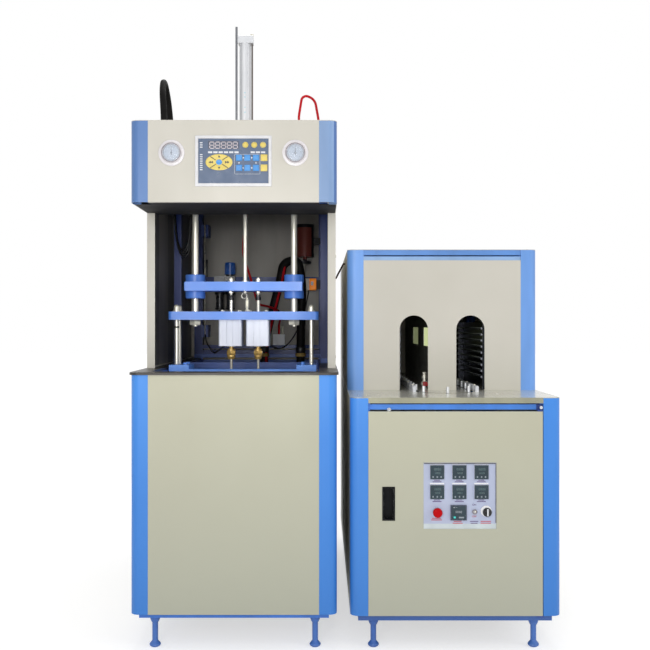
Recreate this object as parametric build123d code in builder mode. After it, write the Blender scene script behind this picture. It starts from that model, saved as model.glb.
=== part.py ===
# Two-cabinet bottle blow moulding machine: the blowing cabinet on the left, the preform
# heating cabinet on the right. Millimetres, +Z up, origin on the floor under the middle.
import math
import os

from build123d import *

os.makedirs("parts", exist_ok=True)

# Overall sizes of the two cabinets
blow_width = 696.0
blow_depth = 1400.0
heat_width = 709.0
heat_depth = 1600.0
cabinet_gap = 45.0
rim_overhang = 6.0
button_reach = 25.0

# Heights above the floor
blow_rail_z = 110.0
heat_rail_z = 101.0
blow_cover_z = 126.0
heat_cover_z = 122.0
rim_z = 932.0
head_z = 1513.0
head_top_z = 1789.0
worktop_z = 856.0
housing_top_z = 1383.0

# Sheet metal, square tube and fits
sheet = 2.0
tube = 40.0
post_width = 60.0
post_radius = 28.0
fold = 18.0
side_fold = 26.7
seam = 0.3
running = 0.05
plate_gap = 0.3
frame_inset = fold + seam
edge_break = 2.0
fine_break = 1.0
cut_past = 1.0
seat_gap = 0.1
hole_clearance = 0.2

# Half widths of the two welded frames
blow_frame_half = blow_width / 2 - side_fold - seam
heat_frame_half = heat_width / 2 - side_fold - seam

# Working middle of each cabinet, seen from above
x_left = -(rim_overhang + blow_width + cabinet_gap + heat_width) / 2
blow_x = x_left + rim_overhang + blow_width / 2
heat_x = blow_x + blow_width / 2 + cabinet_gap + heat_width / 2
y_front = -(heat_depth - button_reach) / 2

# Rim and upper side panels of the blowing cabinet
rim_thick = 9.0
rim_border = 60.0
rim_top = rim_z + rim_thick
panel_setback = 295.0
panel_flange = 29.0
rear_flange = 20.0

# Cooling slots in the heater's rear cover
slot_width = 8.0
slot_length = 90.0
slot_pitch = 24.0
slot_rows = 8
slot_z = 250.0

# Upright frame of the blowing cabinet
slim_tube = 30.0
slim_bar_z = 914.0
post_one_depth = 750.0
rear_post_inset = 55.0
post_two_depth = blow_depth - rear_post_inset
rear_bars = ((943.0, 36.0), (987.0, 16.0), (1293.0, 40.0))
bed_z = 520.0
bed_half = 210.0

# Stretch and sealing head
axis_depth = 440.0
platen_depth = 130.0
cross_width = 448.0
cross_z = 1230.0
cross_thick = 34.0
cross_corner = 3.0
platen_width = 570.0
platen_z = 1120.0
platen_thick = 31.0
platen_corner = 14.0
top_platen_width = 640.0
top_platen_z = 1568.0
top_platen_thick = 32.0
guide_half = 190.0
guide_radius = 12.0
stud_radius = 8.0
bush_radius = 37.5
bush_core = 22.0
bush_top = 29.0
bush_bottom = 28.0
nut_flats = 26.0
nut_height = 21.0
thread_past = 4.0
cavity_half = 52.0
stretch_radius = 5.0
stretch_tip_z = 700.0
stretch_tip_radius = 4.5
stretch_thread_past = 5.0
small_nut = 17.0
small_nut_top = 14.0
small_nut_low = 8.0
piston_rod_radius = 8.0
piston_rod_past = 6.0
jam_nut_height = 6.0
jam_nut_radius = 13.0
piston_clear = 5.0
seal_body = 88.0
seal_height = 100.0
seal_corner = 6.0
groove_pitch = 24.0
groove_width = 5.0
groove_depth = 4.0
rod_clearance = 1.0
seal_rod_radius = 6.5
seal_neck_radius = 9.0
seal_neck = 14.0
nozzle_radius = 15.0
nozzle_height = 37.0
nozzle_tip_radius = 11.0
nozzle_taper = 10.0
nozzle_ring = 8.0
nozzle_groove = 2.0
fitting_radius = 11.0
fitting_z = 1196.0
fitting_height = 19.0
fitting_body = 11.0
fitting_step = 2.0

# Stay rods that hold the lower platen
stay_half = 257.0
stay_radius = 7.5
stay_pitch = 66.0
saddle_inner = 202.0
saddle_width = 74.0
saddle_top = 950.0
saddle_length = 145.0
saddle_boss_inset = 22.0
saddle_boss_radius = 8.0
saddle_boss_height = 7.0
stay_seat = 10.0
dome_flange = 14.5
dome_flange_thick = 5.0
dome_radius = 11.0
dome_neck = 16.0
dome_height = 28.0
dome_wall = 8.0

# Stretch cylinder on the roof
cylinder_z = top_platen_z + top_platen_thick
cylinder_top = 2210.0
cylinder_radius = 21.5
cylinder_bore = 17.0
cylinder_cap = 29.0
cylinder_cap_width = 58.0
cylinder_cap_left = 26.2
cylinder_base = 40.0
piston_height = 30.0
strip_width = 8.5
strip_thick = 5.0
strip_top = 2248.0
pipe_radius = 3.6
pipe_start = 20.0
pipe_clip = 12.0
strip_clip_inset = 4.0
cylinder_shift = 1.7
strip_shift = 31.7
pipe_shift = 28.5

# Mould clamp in the lower cabinet
mould_width = 230.0
mould_thick = 55.0
mould_top = 915.0
mould_bottom = 640.0
mould_open = 150.0
clamp_half = 230.0
clamp_top = 890.0
clamp_strip = 934.0
clamp_plate = 40.0
clamp_rear_inset = 360.0
clamp_rear_depth = blow_depth - clamp_rear_inset
tie_half = 180.0
tie_low = 600.0
tie_high = 860.0
tie_radius = 16.0
tie_nut = 46.0
tie_nut_height = 18.0
bottle_radius = 30.0
bottle_neck = 12.5
bottle_base_z = 690.0
bottle_body_z = 840.0
bottle_shoulder_z = 890.0
bottle_shoulder_in = 8.0
bottle_shoulder_rise = 30.0
bottle_heel = 4.0
bottle_heel_rise = 6.0
barrel_radius = 85.0
barrel_bore = 62.0
barrel_length = 220.0
barrel_cap = 20.0
clamp_rod_radius = 22.0
clamp_rod_z = 730.0
clamp_piston = 25.0
clamp_stroke_spare = 10.0

# Head box
gauge_half = 208.0
gauge_z = 1678.0
gauge_radius = 44.0
gauge_rim = 34.0
gauge_dial = 30.0
gauge_back = 35.0
gauge_floor = 3.0
gauge_front = 12.0
gauge_bevel = 2.0
needle_length = 23.0
needle_tail = 7.0
needle_root = 1.6
needle_tip = 0.5
needle_hub = 3.5
needle_thick = 1.2
needle_front = 6.0
needle_zero = 135.0
staff_radius = 1.5
staff_depth = 4.0
keypad_z = 1651.0
keypad_width = 257.0
keypad_height = 171.0
keypad_border = 10.5
keypad_thick = 4.0
keypad_corner = 3.0
key_corner = 2.0
key_raise = 0.8
key_columns = (19.0, 47.0, 76.0)
key_rows = (10.5, -23.5)
key_size = 20.0
side_key_x = 103.0
side_key_size = 22.0
pad_x = -48.0
pad_z = -4.5
pad_half_width = 44.5
pad_half_height = 26.5
soffit_depth = 340.0

# Rear door of the blowing cabinet
door_gap = 1.5
knuckle_radius = 6.0
knuckle_pin = 3.0
knuckle_height = 30.0
hinge_levels = (1071.0, 1555.0)
hinge_leaf = 20.0
fixed_leaf = 16.0
grip_inset = 45.0
grip_length = 110.0
grip_width = 30.0
stop_block = (30.0, 58.0)
stop_front = 14.0
stop_wrap = 5.0

# Air line parts behind the head
filter_x = -195.0
regulator_x = -145.0
unit_width = 50.0
unit_z = 1262.0
unit_height = 73.0
unit_depth = 44.0
bowl_radius = 18.0
bowl_height = 89.0
collar_height = 8.0
knob_radius = 25.0
knob_height = 57.0
knob_stem = 6.0
knob_break = 4.0
collar_inset = 3.0
bridge_half = 10.0
bridge_low = 20.0
bridge_high = 45.0
silencer_x = 216.0
silencer_z = 1425.0
silencer_radius = 42.0
silencer_height = 155.0
silencer_gap = 4.0
silencer_port = 30.0
port_radius = 9.0
bracket_half = 15.0
valve_x = 242.0
valve_z = 1267.0
valve_size = (53.0, 45.0, 56.0)
foot_plate_thick = 6.0
foot_plate_inset = 10.0
muffler_x = 195.0
muffler_radius = 18.0
muffler_z = 1030.0
muffler_height = 47.0
elbow_half = 8.0
elbow_height = 16.0
exhaust_x = 88.0
exhaust_size = (56.0, 52.0)

# Heating cabinet
fascia_height = 19.0
front_rail_z = 814.0
front_rail_height = 18.0
housing_setback = 344.0
housing_post = 60.0
top_rail_z = 1361.5
sub_rail_z = 1342.4
sub_rail_height = 15.0
tunnel_half = 106.0
arch_radius = 53.0
arch_top = 1136.0
turn_depth = 295.0
loop_radius = 100.0
turn_rear_inset = 190.4
spindle_spacing = 95.0
spindle_radius = 5.5
spindle_reach = 22.5
spindle_body = 9.0
spindle_body_gap = 6.0
carrier_width = 26.0
carrier_length = 60.0
carrier_thick = 4.0
chain_z = 806.0
link_width = 16.0
link_lap = 12.0
slot_half = 7.5
sprocket_rim = 14.0
sprocket_thick = 8.0
shaft_radius = 15.0
bearing_radius = 30.0
cross_bar_z = 700.0
guide_inner = 108.0
guide_width = 12.0
guide_height = 22.0
guide_start = 247.0
tunnel_rear = 200.0
guide_end = heat_depth - tunnel_rear
lamp_rows = 9
lamp_pitch = 23.0
lamp_z = 903.0
lamp_radius = 5.0
lamp_x = 165.0
lamp_start = 378.0
lamp_middle = 955.0
lamp_end = heat_depth - tunnel_rear
holder_width = 14.0
holder_reach = 10.0
lamp_spans = ((lamp_start, lamp_middle), (lamp_middle + holder_width, lamp_end))
reflector_x = 177.0
bank_low = 858.0
bank_high = 1112.0
partition_half = 38.0
partition_top = 1180.0
partition_start = 380.0
partition_end = heat_depth - tunnel_rear + 10.0
window_low = 1017.0
window_high = 1090.0
window_spans = ((425.0, 623.0), (826.0, 1043.0))

# Heater door and its control plate
hinge_gap = 2.0
door_fold = 17.0
pivot_inset = 4.0
pivot_radius = 3.0
pivot_block = 10.0
pivot_block_depth = 12.0
pivot_hole = 14.0
pin_reach = 10.0
lug_thick = 4.5
lug_reach = 14.0
lug_tab = 3.0
pull_inset = 128.5
pull_z = 499.5
pull_width = 43.0
pull_height = 114.0
pull_depth = 24.0
pull_lip = 3.0
pull_flange = 1.5
pull_wall = 2.5
plate_x = 13.7
plate_z = 526.0
plate_width = 245.0
plate_height = 223.0
plate_recess = 2.0
plate_thick = 2.0
plate_margin = 8.0
meter_size = 48.0
meter_body = 44.0
meter_depth = 80.0
meter_face = 6.0
meter_cut = 45.0
meter_columns = (-63.2, 11.4, 85.6)
meter_rows = (605.7, 539.2)
timer_x = 8.7
timer_z = 469.7
timer_size = (54.0, 51.0)
timer_body_inset = 3.0
timer_proud = 1.0
button_x = -63.2
button_z = 472.0
button_radius = 16.0
button_crown = 7.2
button_skirt = 3.5
button_bevel = 1.5
button_stem = 6.0
button_stem_length = 20.0
button_travel = 4.0
switch_barrel = 11.0
switch_depth = 42.0
switch_bore_depth = 30.0
toggle_x = 63.1
toggle_tilt = 15.0
toggle_nut = 3.0
toggle_nut_radius = 7.0
toggle_barrel = 5.5
toggle_depth = 28.0
toggle_set = 1.5
toggle_hub = 3.3
toggle_hub_half = 2.4
toggle_slot = 2.5
toggle_root = 1.8
toggle_length = 16.5
toggle_taper = -3.0
selector_x = 104.1
selector_radius = 15.0
selector_skirt = 5.0
selector_grip = 9.0
selector_grip_width = 9.0
selector_grip_inset = 1.0
selector_stem = 4.0
selector_stem_length = 25.0
collar_radius = 15.0
collar_thick = 6.0

# Levelling feet
blow_foot_inset = 74.0
heat_foot_inset = 80.5
foot_depth = 60.0
foot_pad = 19.5
foot_pad_edge = 8.0
foot_pad_round = 3.0
foot_pad_height = 20.0
foot_flat = 13.0
foot_heel = 4.0
foot_bevel = 1.5
foot_stem = 10.0
foot_boss = 16.5
foot_boss_neck = 12.5
foot_boss_taper = 9.0
foot_boss_height = 25.0

# Hoses and tubes
hose_radius = 19.0
roof_hose_radius = 12.0
red_tube_radius = 4.75
link_radius = 3.5
link_depth = 700.0
link_stub = 7.0
link_low = 1293.0
link_high = 1353.0
roof_hose_inset = 50.0
roof_hose_spread = 75.0
red_loop_insets = (128.0, 60.0)
red_tube_start = 700.0

# Gear motor and cooling valve
motor_radius = 60.0
motor_length = 180.0
gearbox = 110.0
motor_ribs = 6
rib_start = 20.0
rib_pitch = 22.0
rib_thick = 6.0
rib_rise = 5.0
cooling_x = -58.0
cooling_depth = 420.0
cooling_height = 62.0
cooling_pipe = 7.0
cooling_flange = 12.0
cooling_flange_thick = 5.0
cooling_ball = 13.0
cooling_ball_height = 20.0
cooling_collar = 10.0
cooling_collar_low = 40.0
cooling_nose = 6.0
cooling_nose_reach = 20.0
lever_pin = 2.5
lever_pin_seat = 9.0
lever_hub = 8.0
lever_plate = 3.7
lever_grip_reach = 18.0
lever_grip_drop = 7.0
lever_grip_rise = 5.0


def block(x_span, y_span, z_span, mode=Mode.ADD):
    """Adds a squared block, given its three spans, to the part that is open."""
    centre = [(low + high) / 2 for low, high in (x_span, y_span, z_span)]
    with Locations(tuple(centre)):
        Box(
            x_span[1] - x_span[0],
            y_span[1] - y_span[0],
            z_span[1] - z_span[0],
            mode=mode,
        )


def upright(x, y, z_span, radius, mode=Mode.ADD):
    """Adds an upright round bar to the part that is open."""
    with Locations((x, y, (z_span[0] + z_span[1]) / 2)):
        Cylinder(radius, z_span[1] - z_span[0], mode=mode)


def lengthwise(x, z, y_span, radius, mode=Mode.ADD):
    """Adds a round bar that runs front to back to the part that is open."""
    with Locations((x, (y_span[0] + y_span[1]) / 2, z)):
        Cylinder(radius, y_span[1] - y_span[0], rotation=(90, 0, 0), mode=mode)


def bar(x_span, y_span, z_span):
    """One length of square tube, cut square, as a solid of its own."""
    with BuildPart() as cut:
        block(x_span, y_span, z_span)
    return cut.part.solid()


def hex_nut(x, y, z, flats, height, hole):
    """Adds a hexagon nut that stands on z to the part that is open."""
    with BuildSketch(Plane.XY.offset(z)) as outline:
        with Locations((x, y)):
            RegularPolygon(flats / 2, 6, major_radius=False)
            Circle(hole, mode=Mode.SUBTRACT)
    extrude(outline.sketch, amount=height)


def depth_span(low, high):
    """Turns two depths behind the cabinets' front plane into a span along Y."""
    return (y_front + low, y_front + high)


def corner_outline(width, radius):
    """Plan of a bent corner post whose outer corner is at the origin, opening to +X +Y."""
    with BuildSketch() as plan:
        with BuildLine():
            Line((width, 0), (radius, 0))
            RadiusArc((radius, 0), (0, radius), radius)
            Line((0, radius), (0, width))
            Line((0, width), (side_fold, width))
            Line((side_fold, width), (side_fold, width - sheet))
            Line((side_fold, width - sheet), (sheet, width - sheet))
            Line((sheet, width - sheet), (sheet, radius))
            RadiusArc((sheet, radius), (radius, sheet), -(radius - sheet))
            Line((radius, sheet), (width - sheet, sheet))
            Line((width - sheet, sheet), (width - sheet, fold))
            Line((width - sheet, fold), (width, fold))
            Line((width, fold), (width, 0))
        make_face()
    return plan.sketch


def corner_post(x, y, toward_x, toward_y, z_span, width):
    """Adds one bent corner post, whose outer corner is at x, y, to the part that is open."""
    plan = corner_outline(width, post_radius)
    if toward_x < 0:
        plan = mirror(plan, about=Plane.YZ, mode=Mode.PRIVATE)
    if toward_y < 0:
        plan = mirror(plan, about=Plane.XZ, mode=Mode.PRIVATE)
    placed = plan.moved(Location((x, y, z_span[0])))
    extrude(placed, amount=z_span[1] - z_span[0], dir=(0, 0, 1))


def pan(x_span, y_span, z_span, outward):
    """Adds a folded sheet pan whose open side faces inwards to the part that is open."""
    block(x_span, y_span, z_span)
    inner = [[low + sheet, high - sheet] for low, high in (x_span, y_span, z_span)]
    axis = "xyz".index(outward[1])
    if outward[0] == "-":
        inner[axis][1] = (x_span, y_span, z_span)[axis][1]
    else:
        inner[axis][0] = (x_span, y_span, z_span)[axis][0]
    block(*[tuple(span) for span in inner], mode=Mode.SUBTRACT)


def save(part, label):
    """Labels a finished piece and writes it."""
    part.label = label
    export_step(part, f"parts/{label}.step")


# Spans used by many pieces
front_plate = (axis_depth - mould_thick - clamp_plate, axis_depth - mould_thick)
blow_left = blow_x - blow_width / 2
blow_right = blow_x + blow_width / 2
heat_left = heat_x - heat_width / 2
heat_right = heat_x + heat_width / 2
blow_back = y_front + blow_depth
heat_back = y_front + heat_depth
axis_y = y_front + axis_depth
head_y = (axis_y - platen_depth / 2, axis_y + platen_depth / 2)
posts_z = {"blow": (blow_cover_z, rim_z), "heat": (heat_cover_z, worktop_z - sheet)}
roof_z = head_top_z - sheet
housing_roof = housing_top_z - sheet

# Welded frame of the blowing cabinet, as its separate lengths of square tube
lengths = []
outer = blow_frame_half
inner = blow_frame_half - tube
base = (blow_rail_z, blow_rail_z + tube)
ledge = (rim_z - tube, rim_z)
bed = (bed_z, bed_z + tube)
near = frame_inset
far = blow_depth - frame_inset
for side in (-1, 1):
    span = sorted((blow_x + side * inner, blow_x + side * outer))
    lengths.append(bar(span, depth_span(near, far), base))
    lengths.append(bar(span, depth_span(near, far), ledge))
    for start in (near, post_two_depth - tube / 2):
        lengths.append(bar(span, depth_span(start, start + tube), (base[1], ledge[0])))
    rear_foot = depth_span(post_two_depth - tube / 2, post_two_depth + tube / 2)
    lengths.append(bar(span, rear_foot, (rim_z, roof_z - tube)))
    slim = sorted((blow_x + side * outer, blow_x + side * (outer - slim_tube)))
    slim_foot = depth_span(post_one_depth - slim_tube / 2, post_one_depth + slim_tube / 2)
    lengths.append(bar(slim, slim_foot, (rim_z, roof_z - tube)))
    lengths.append(bar(slim, slim_foot, (base[1], ledge[0])))
    lengths.append(bar(span, depth_span(near, far), (roof_z - tube, roof_z)))
    hanger = (axis_y - tube / 2, axis_y + tube / 2)
    lengths.append(bar(span, hanger, (top_platen_z + top_platen_thick, roof_z - tube)))
    rail = sorted((blow_x + side * bed_half, blow_x + side * (bed_half - tube)))
    lengths.append(bar(rail, depth_span(near + tube, post_two_depth - tube / 2), bed))
between = (blow_x - inner, blow_x + inner)
for start in (near, post_two_depth - tube / 2):
    lengths.append(bar(between, depth_span(start, start + tube), base))
    lengths.append(bar(between, depth_span(start, start + tube), bed))
    lengths.append(bar(between, depth_span(start, start + tube), (roof_z - tube, roof_z)))
lengths.append(bar(between, depth_span(far - tube, far), ledge))
lengths.append(bar(between, slim_foot, (slim_bar_z, slim_bar_z + slim_tube)))
rear_bar_y = rear_foot
for low, height in rear_bars:
    lengths.append(bar(between, rear_bar_y, (low, low + height)))
blower_frame = Compound(lengths)
save(blower_frame, "blower_frame")

# Welded frame of the heating cabinet and the housing on it
lengths = []
outer = heat_frame_half
inner = heat_frame_half - tube
base = (heat_rail_z, heat_rail_z + tube)
ledge = (worktop_z - sheet - tube, worktop_z - sheet)
far = heat_depth - frame_inset
house_near = housing_setback + frame_inset
for side in (-1, 1):
    span = sorted((heat_x + side * inner, heat_x + side * outer))
    lengths.append(bar(span, depth_span(near, far), base))
    lengths.append(bar(span, depth_span(near, far), ledge))
    for start in (near, far - tube):
        lengths.append(bar(span, depth_span(start, start + tube), (base[1], ledge[0])))
    for start in (house_near, far - tube):
        foot = depth_span(start, start + tube)
        lengths.append(bar(span, foot, (worktop_z, housing_roof - tube)))
    lengths.append(bar(span, depth_span(house_near, far), (housing_roof - tube, housing_roof)))
between = (heat_x - inner, heat_x + inner)
for start in (near, far - tube):
    lengths.append(bar(between, depth_span(start, start + tube), base))
lengths.append(bar(between, depth_span(far - tube, far), ledge))
front_rail = (front_rail_z, front_rail_z + front_rail_height)
lengths.append(bar(between, depth_span(near, near + tube), front_rail))
cross_bar = (cross_bar_z, cross_bar_z + tube)
loop_length = heat_depth - turn_rear_inset - turn_depth
loop_total = 2 * (loop_length + math.pi * loop_radius)
spindle_count = round(loop_total / spindle_spacing)
spindle_pitch = loop_total / spindle_count
turn_depths = (turn_depth, turn_depth + loop_length)
for side in (-1, 1):
    span = sorted((heat_x + side * inner, heat_x + side * (inner - tube)))
    lengths.append(bar(span, depth_span(near + tube, far - tube), cross_bar))
cross_span = (heat_x - inner + tube, heat_x + inner - tube)
for middle in turn_depths:
    lengths.append(bar(cross_span, depth_span(middle - tube / 2, middle + tube / 2), cross_bar))
for start in (near, far - tube):
    lengths.append(bar(between, depth_span(start, start + tube), cross_bar))
rail_half = heat_width / 2 - housing_post - seam
rail_span = (heat_x - rail_half, heat_x + rail_half)
rail_y = depth_span(housing_setback + sheet, house_near)
lengths.append(bar(rail_span, rail_y, (top_rail_z, housing_roof)))
lengths.append(bar(rail_span, rail_y, (sub_rail_z, sub_rail_z + sub_rail_height)))
heater_frame = Compound(lengths)
save(heater_frame, "heater_frame")

# Bent corner posts of both cabinets, the head box and the heater housing
with BuildPart() as corner_posts:
    for left, right, back, heights in (
        (blow_left, blow_right, blow_back, posts_z["blow"]),
        (heat_left, heat_right, heat_back, posts_z["heat"]),
    ):
        corner_post(left, y_front, 1, 1, heights, post_width)
        corner_post(right, y_front, -1, 1, heights, post_width)
        corner_post(left, back, 1, -1, heights, post_width)
        corner_post(right, back, -1, -1, heights, post_width)
    corner_post(blow_left, y_front, 1, 1, (head_z, roof_z), post_width)
    corner_post(blow_right, y_front, -1, 1, (head_z, roof_z), post_width)
    heights = (worktop_z, housing_roof)
    for toward_y, y in ((1, y_front + housing_setback), (-1, heat_back)):
        corner_post(heat_left, y, 1, toward_y, heights, housing_post)
        corner_post(heat_right, y, -1, toward_y, heights, housing_post)
save(corner_posts.part, "corner_posts")

# Folded front cover of the blowing cabinet
cover_x = (blow_left + post_width + seam, blow_right - post_width - seam)
with BuildPart() as front_cover:
    pan(cover_x, depth_span(0, fold), (blow_cover_z, rim_z), "-y")
save(front_cover.part, "front_cover")

# Folded covers on the sides of both cabinets and of the heater housing
with BuildPart() as side_covers:
    for left, right, near_y, far_y, heights, width in (
        (blow_left, blow_right, y_front, blow_back, posts_z["blow"], post_width),
        (heat_left, heat_right, y_front, heat_back, posts_z["heat"], post_width),
        (
            heat_left,
            heat_right,
            y_front + housing_setback,
            heat_back,
            (worktop_z, housing_roof),
            housing_post,
        ),
    ):
        run = (near_y + width + seam, far_y - width - seam)
        pan((left, left + side_fold), run, heights, "-x")
        pan((right - side_fold, right), run, heights, "+x")
save(side_covers.part, "side_covers")

# Folded rear covers, with rows of cooling slots in the heater's lower one
rear_blow_x = (blow_left + post_width + seam, blow_right - post_width - seam)
rear_heat_x = (heat_left + post_width + seam, heat_right - post_width - seam)
rear_house_x = (heat_left + housing_post + seam, heat_right - housing_post - seam)
with BuildPart() as rear_covers:
    pan(rear_blow_x, (blow_back - fold, blow_back), posts_z["blow"], "+y")
    pan(rear_heat_x, (heat_back - fold, heat_back), posts_z["heat"], "+y")
    pan(rear_house_x, (heat_back - fold, heat_back), (worktop_z, housing_roof), "+y")
    with BuildSketch(Plane.XZ.offset(-heat_back)) as slots:
        with Locations((heat_x, slot_z + slot_pitch * (slot_rows - 1) / 2)):
            with GridLocations(slot_length * 2, slot_pitch, 2, slot_rows):
                Rectangle(slot_length, slot_width)
    extrude(slots.sketch, amount=sheet * 2, both=True, mode=Mode.SUBTRACT)
save(rear_covers.part, "rear_covers")

# Steel rim around the open top of the lower blowing cabinet, notched for the upright tubes
rim_opening = blow_width / 2 - rim_border
with BuildPart() as worktop_rim:
    with BuildSketch(Plane.XY.offset(rim_z)):
        with Locations((blow_x, y_front + blow_depth / 2)):
            RectangleRounded(
                blow_width + 2 * rim_overhang, blow_depth + 2 * rim_overhang, post_radius
            )
            Rectangle(
                blow_width - 2 * rim_border, blow_depth - 2 * rim_border, mode=Mode.SUBTRACT
            )
        for side in (-1, 1):
            for middle, width in ((post_one_depth, slim_tube), (post_two_depth, tube)):
                notch_inner = min(rim_opening, blow_frame_half - width - seam)
                notch = blow_frame_half + seam - notch_inner
                with Locations((blow_x + side * (notch_inner + notch / 2), y_front + middle)):
                    Rectangle(notch, width + 2 * seam, mode=Mode.SUBTRACT)
    extrude(amount=rim_thick)
    chamfer(worktop_rim.faces().sort_by(Axis.Z)[-1].outer_wire().edges(), edge_break)
save(worktop_rim.part, "worktop_rim")

# Side panels of the upper enclosure, which also close the sides of the head box
with BuildPart() as upper_side_panels:
    for side in (-1, 1):
        skin_x = blow_x + side * blow_width / 2
        inner_x = skin_x - side * sheet
        with BuildSketch(Plane.YZ.offset(min(skin_x, inner_x))) as skin:
            with BuildLine():
                Polyline(
                    (y_front + panel_setback, rim_top),
                    (blow_back, rim_top),
                    (blow_back, roof_z),
                    (y_front + post_width + seam, roof_z),
                    (y_front + post_width + seam, head_z),
                    (y_front + panel_setback, head_z),
                    close=True,
                )
            make_face()
        extrude(skin.sketch, amount=sheet)
        lip = sorted((skin_x, skin_x - side * panel_flange))
        block(lip, depth_span(panel_setback, panel_setback + sheet), (rim_top, head_z))
        back_lip = sorted((skin_x, skin_x - side * rear_flange))
        block(back_lip, (blow_back - sheet, blow_back), (rim_top, roof_z))
        foot_run = depth_span(panel_setback, blow_depth)
        block(back_lip, foot_run, (rim_top, rim_top + sheet))
save(upper_side_panels.part, "upper_side_panels")

# Roof sheets of the blowing cabinet and of the heater housing
roof_hose_x = blow_left + roof_hose_inset
roof_hose_depths = (axis_depth - roof_hose_spread, axis_depth + roof_hose_spread)
red_loop_x = [blow_right - inset for inset in red_loop_insets]
cylinder_x = blow_x + cylinder_shift
strip_x = blow_x - strip_shift
pipe_x = blow_x + pipe_shift
with BuildPart() as top_panels:
    with BuildSketch(Plane.XY.offset(roof_z)):
        with Locations((blow_x, y_front + blow_depth / 2)):
            RectangleRounded(blow_width, blow_depth, post_radius)
        with Locations((cylinder_x, axis_y)):
            Circle(cylinder_radius + seam, mode=Mode.SUBTRACT)
        with Locations((strip_x, axis_y)):
            Rectangle(strip_width + 2 * seam, strip_thick + 2 * seam, mode=Mode.SUBTRACT)
    extrude(amount=sheet)
    with BuildSketch(Plane.XY.offset(housing_roof)) as housing_sheet:
        with Locations((heat_x, y_front + (housing_setback + heat_depth) / 2)):
            RectangleRounded(heat_width, heat_depth - housing_setback, post_radius)
    extrude(housing_sheet.sketch, amount=sheet)
save(top_panels.part, "top_panels")

# Front panel of the head box, pierced for the two gauges and the keypad
panel_hole = gauge_dial + seam
with BuildPart() as head_front_panel:
    pan(cover_x, depth_span(0, fold), (head_z, roof_z), "-y")
    with BuildSketch(Plane.XZ.offset(-y_front)) as holes:
        for side in (-1, 1):
            with Locations((blow_x + side * gauge_half, gauge_z)):
                Circle(panel_hole)
        with Locations((blow_x, keypad_z)):
            Rectangle(keypad_width - 4 * keypad_border, keypad_height - 4 * keypad_border)
    extrude(holes.sketch, amount=sheet * 2, both=True, mode=Mode.SUBTRACT)
save(head_front_panel.part, "head_front_panel")

# Soffit under the front of the head box
with BuildPart() as head_soffit:
    soffit_x = (blow_left + sheet + seam, blow_right - sheet - seam)
    block(soffit_x, depth_span(post_width + seam, soffit_depth), (head_z, head_z + sheet))
    block(
        (blow_left + post_width + seam, blow_right - post_width - seam),
        depth_span(fold + seam, post_width + seam),
        (head_z, head_z + sheet),
    )
save(head_soffit.part, "head_soffit")

# Pressure gauge cases: a wide front flange, a raised dial ring and a round back
with BuildPart() as gauge_cases:
    for side in (-1, 1):
        with BuildSketch(Plane.XY) as section:
            with BuildLine():
                Polyline(
                    (staff_radius + running, gauge_floor),
                    (gauge_dial - fine_break, gauge_floor),
                    (gauge_dial, gauge_front),
                    (gauge_rim - fine_break, gauge_front),
                    (gauge_rim + gauge_bevel, gauge_floor + gauge_bevel),
                    (gauge_radius - fine_break, gauge_floor + fine_break),
                    (gauge_radius, gauge_floor),
                    (gauge_radius, 0),
                    (gauge_dial, 0),
                    (gauge_dial, -gauge_back),
                    (staff_radius + running, -gauge_back),
                    close=True,
                )
            make_face()
        turned = revolve(section.sketch, axis=Axis.Y, mode=Mode.PRIVATE)
        seat = Location((blow_x + side * gauge_half, y_front, gauge_z), (0, 0, 180))
        add(turned.moved(seat))
save(gauge_cases.part, "gauge_cases")

# Gauge needles at zero, each on its own staff
for side, label in ((-1, "left_gauge_needle"), (1, "right_gauge_needle")):
    with BuildPart() as needle:
        centre = (blow_x + side * gauge_half, y_front, gauge_z)
        dial = Plane(origin=centre, x_dir=(1, 0, 0), z_dir=(0, -1, 0))
        with BuildSketch(dial.offset(needle_front)):
            with Locations(Location((0, 0, 0), (0, 0, needle_zero))):
                with BuildLine():
                    Polyline(
                        (-needle_root, -needle_tail),
                        (needle_root, -needle_tail),
                        (needle_tip, needle_length),
                        (-needle_tip, needle_length),
                        close=True,
                    )
                make_face()
            Circle(needle_hub)
        extrude(amount=needle_thick)
        with BuildSketch(dial.offset(-staff_depth)):
            Circle(staff_radius)
        extrude(amount=staff_depth + needle_front)
    save(needle.part, label)

# Keypad: an aluminium surround and one moulded sheet of keys
pad_plane = Plane(origin=(blow_x, y_front, keypad_z), x_dir=(1, 0, 0), z_dir=(0, -1, 0))
with BuildPart() as keypad_frame:
    with BuildSketch(pad_plane):
        RectangleRounded(keypad_width, keypad_height, keypad_corner)
        Rectangle(
            keypad_width - 2 * keypad_border, keypad_height - 2 * keypad_border, mode=Mode.SUBTRACT
        )
    extrude(amount=keypad_thick)
    chamfer(keypad_frame.faces().sort_by(Axis.Y)[0].edges(), fine_break)
save(keypad_frame.part, "keypad_frame")
with BuildPart() as keypad_panel:
    with BuildSketch(pad_plane):
        Rectangle(
            keypad_width - 2 * keypad_border - 2 * seam,
            keypad_height - 2 * keypad_border - 2 * seam,
        )
    extrude(amount=sheet)
    with BuildSketch(pad_plane.offset(sheet)) as keys:
        for column in key_columns:
            for row in key_rows:
                with Locations((column, row)):
                    RectangleRounded(key_size, key_size, key_corner)
        for row in key_rows:
            with Locations((side_key_x, row)):
                RectangleRounded(side_key_size, side_key_size, key_corner)
        with Locations((pad_x, pad_z)):
            Ellipse(pad_half_width, pad_half_height)
    extrude(keys.sketch, amount=key_raise)
save(keypad_panel.part, "keypad_panel")

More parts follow.
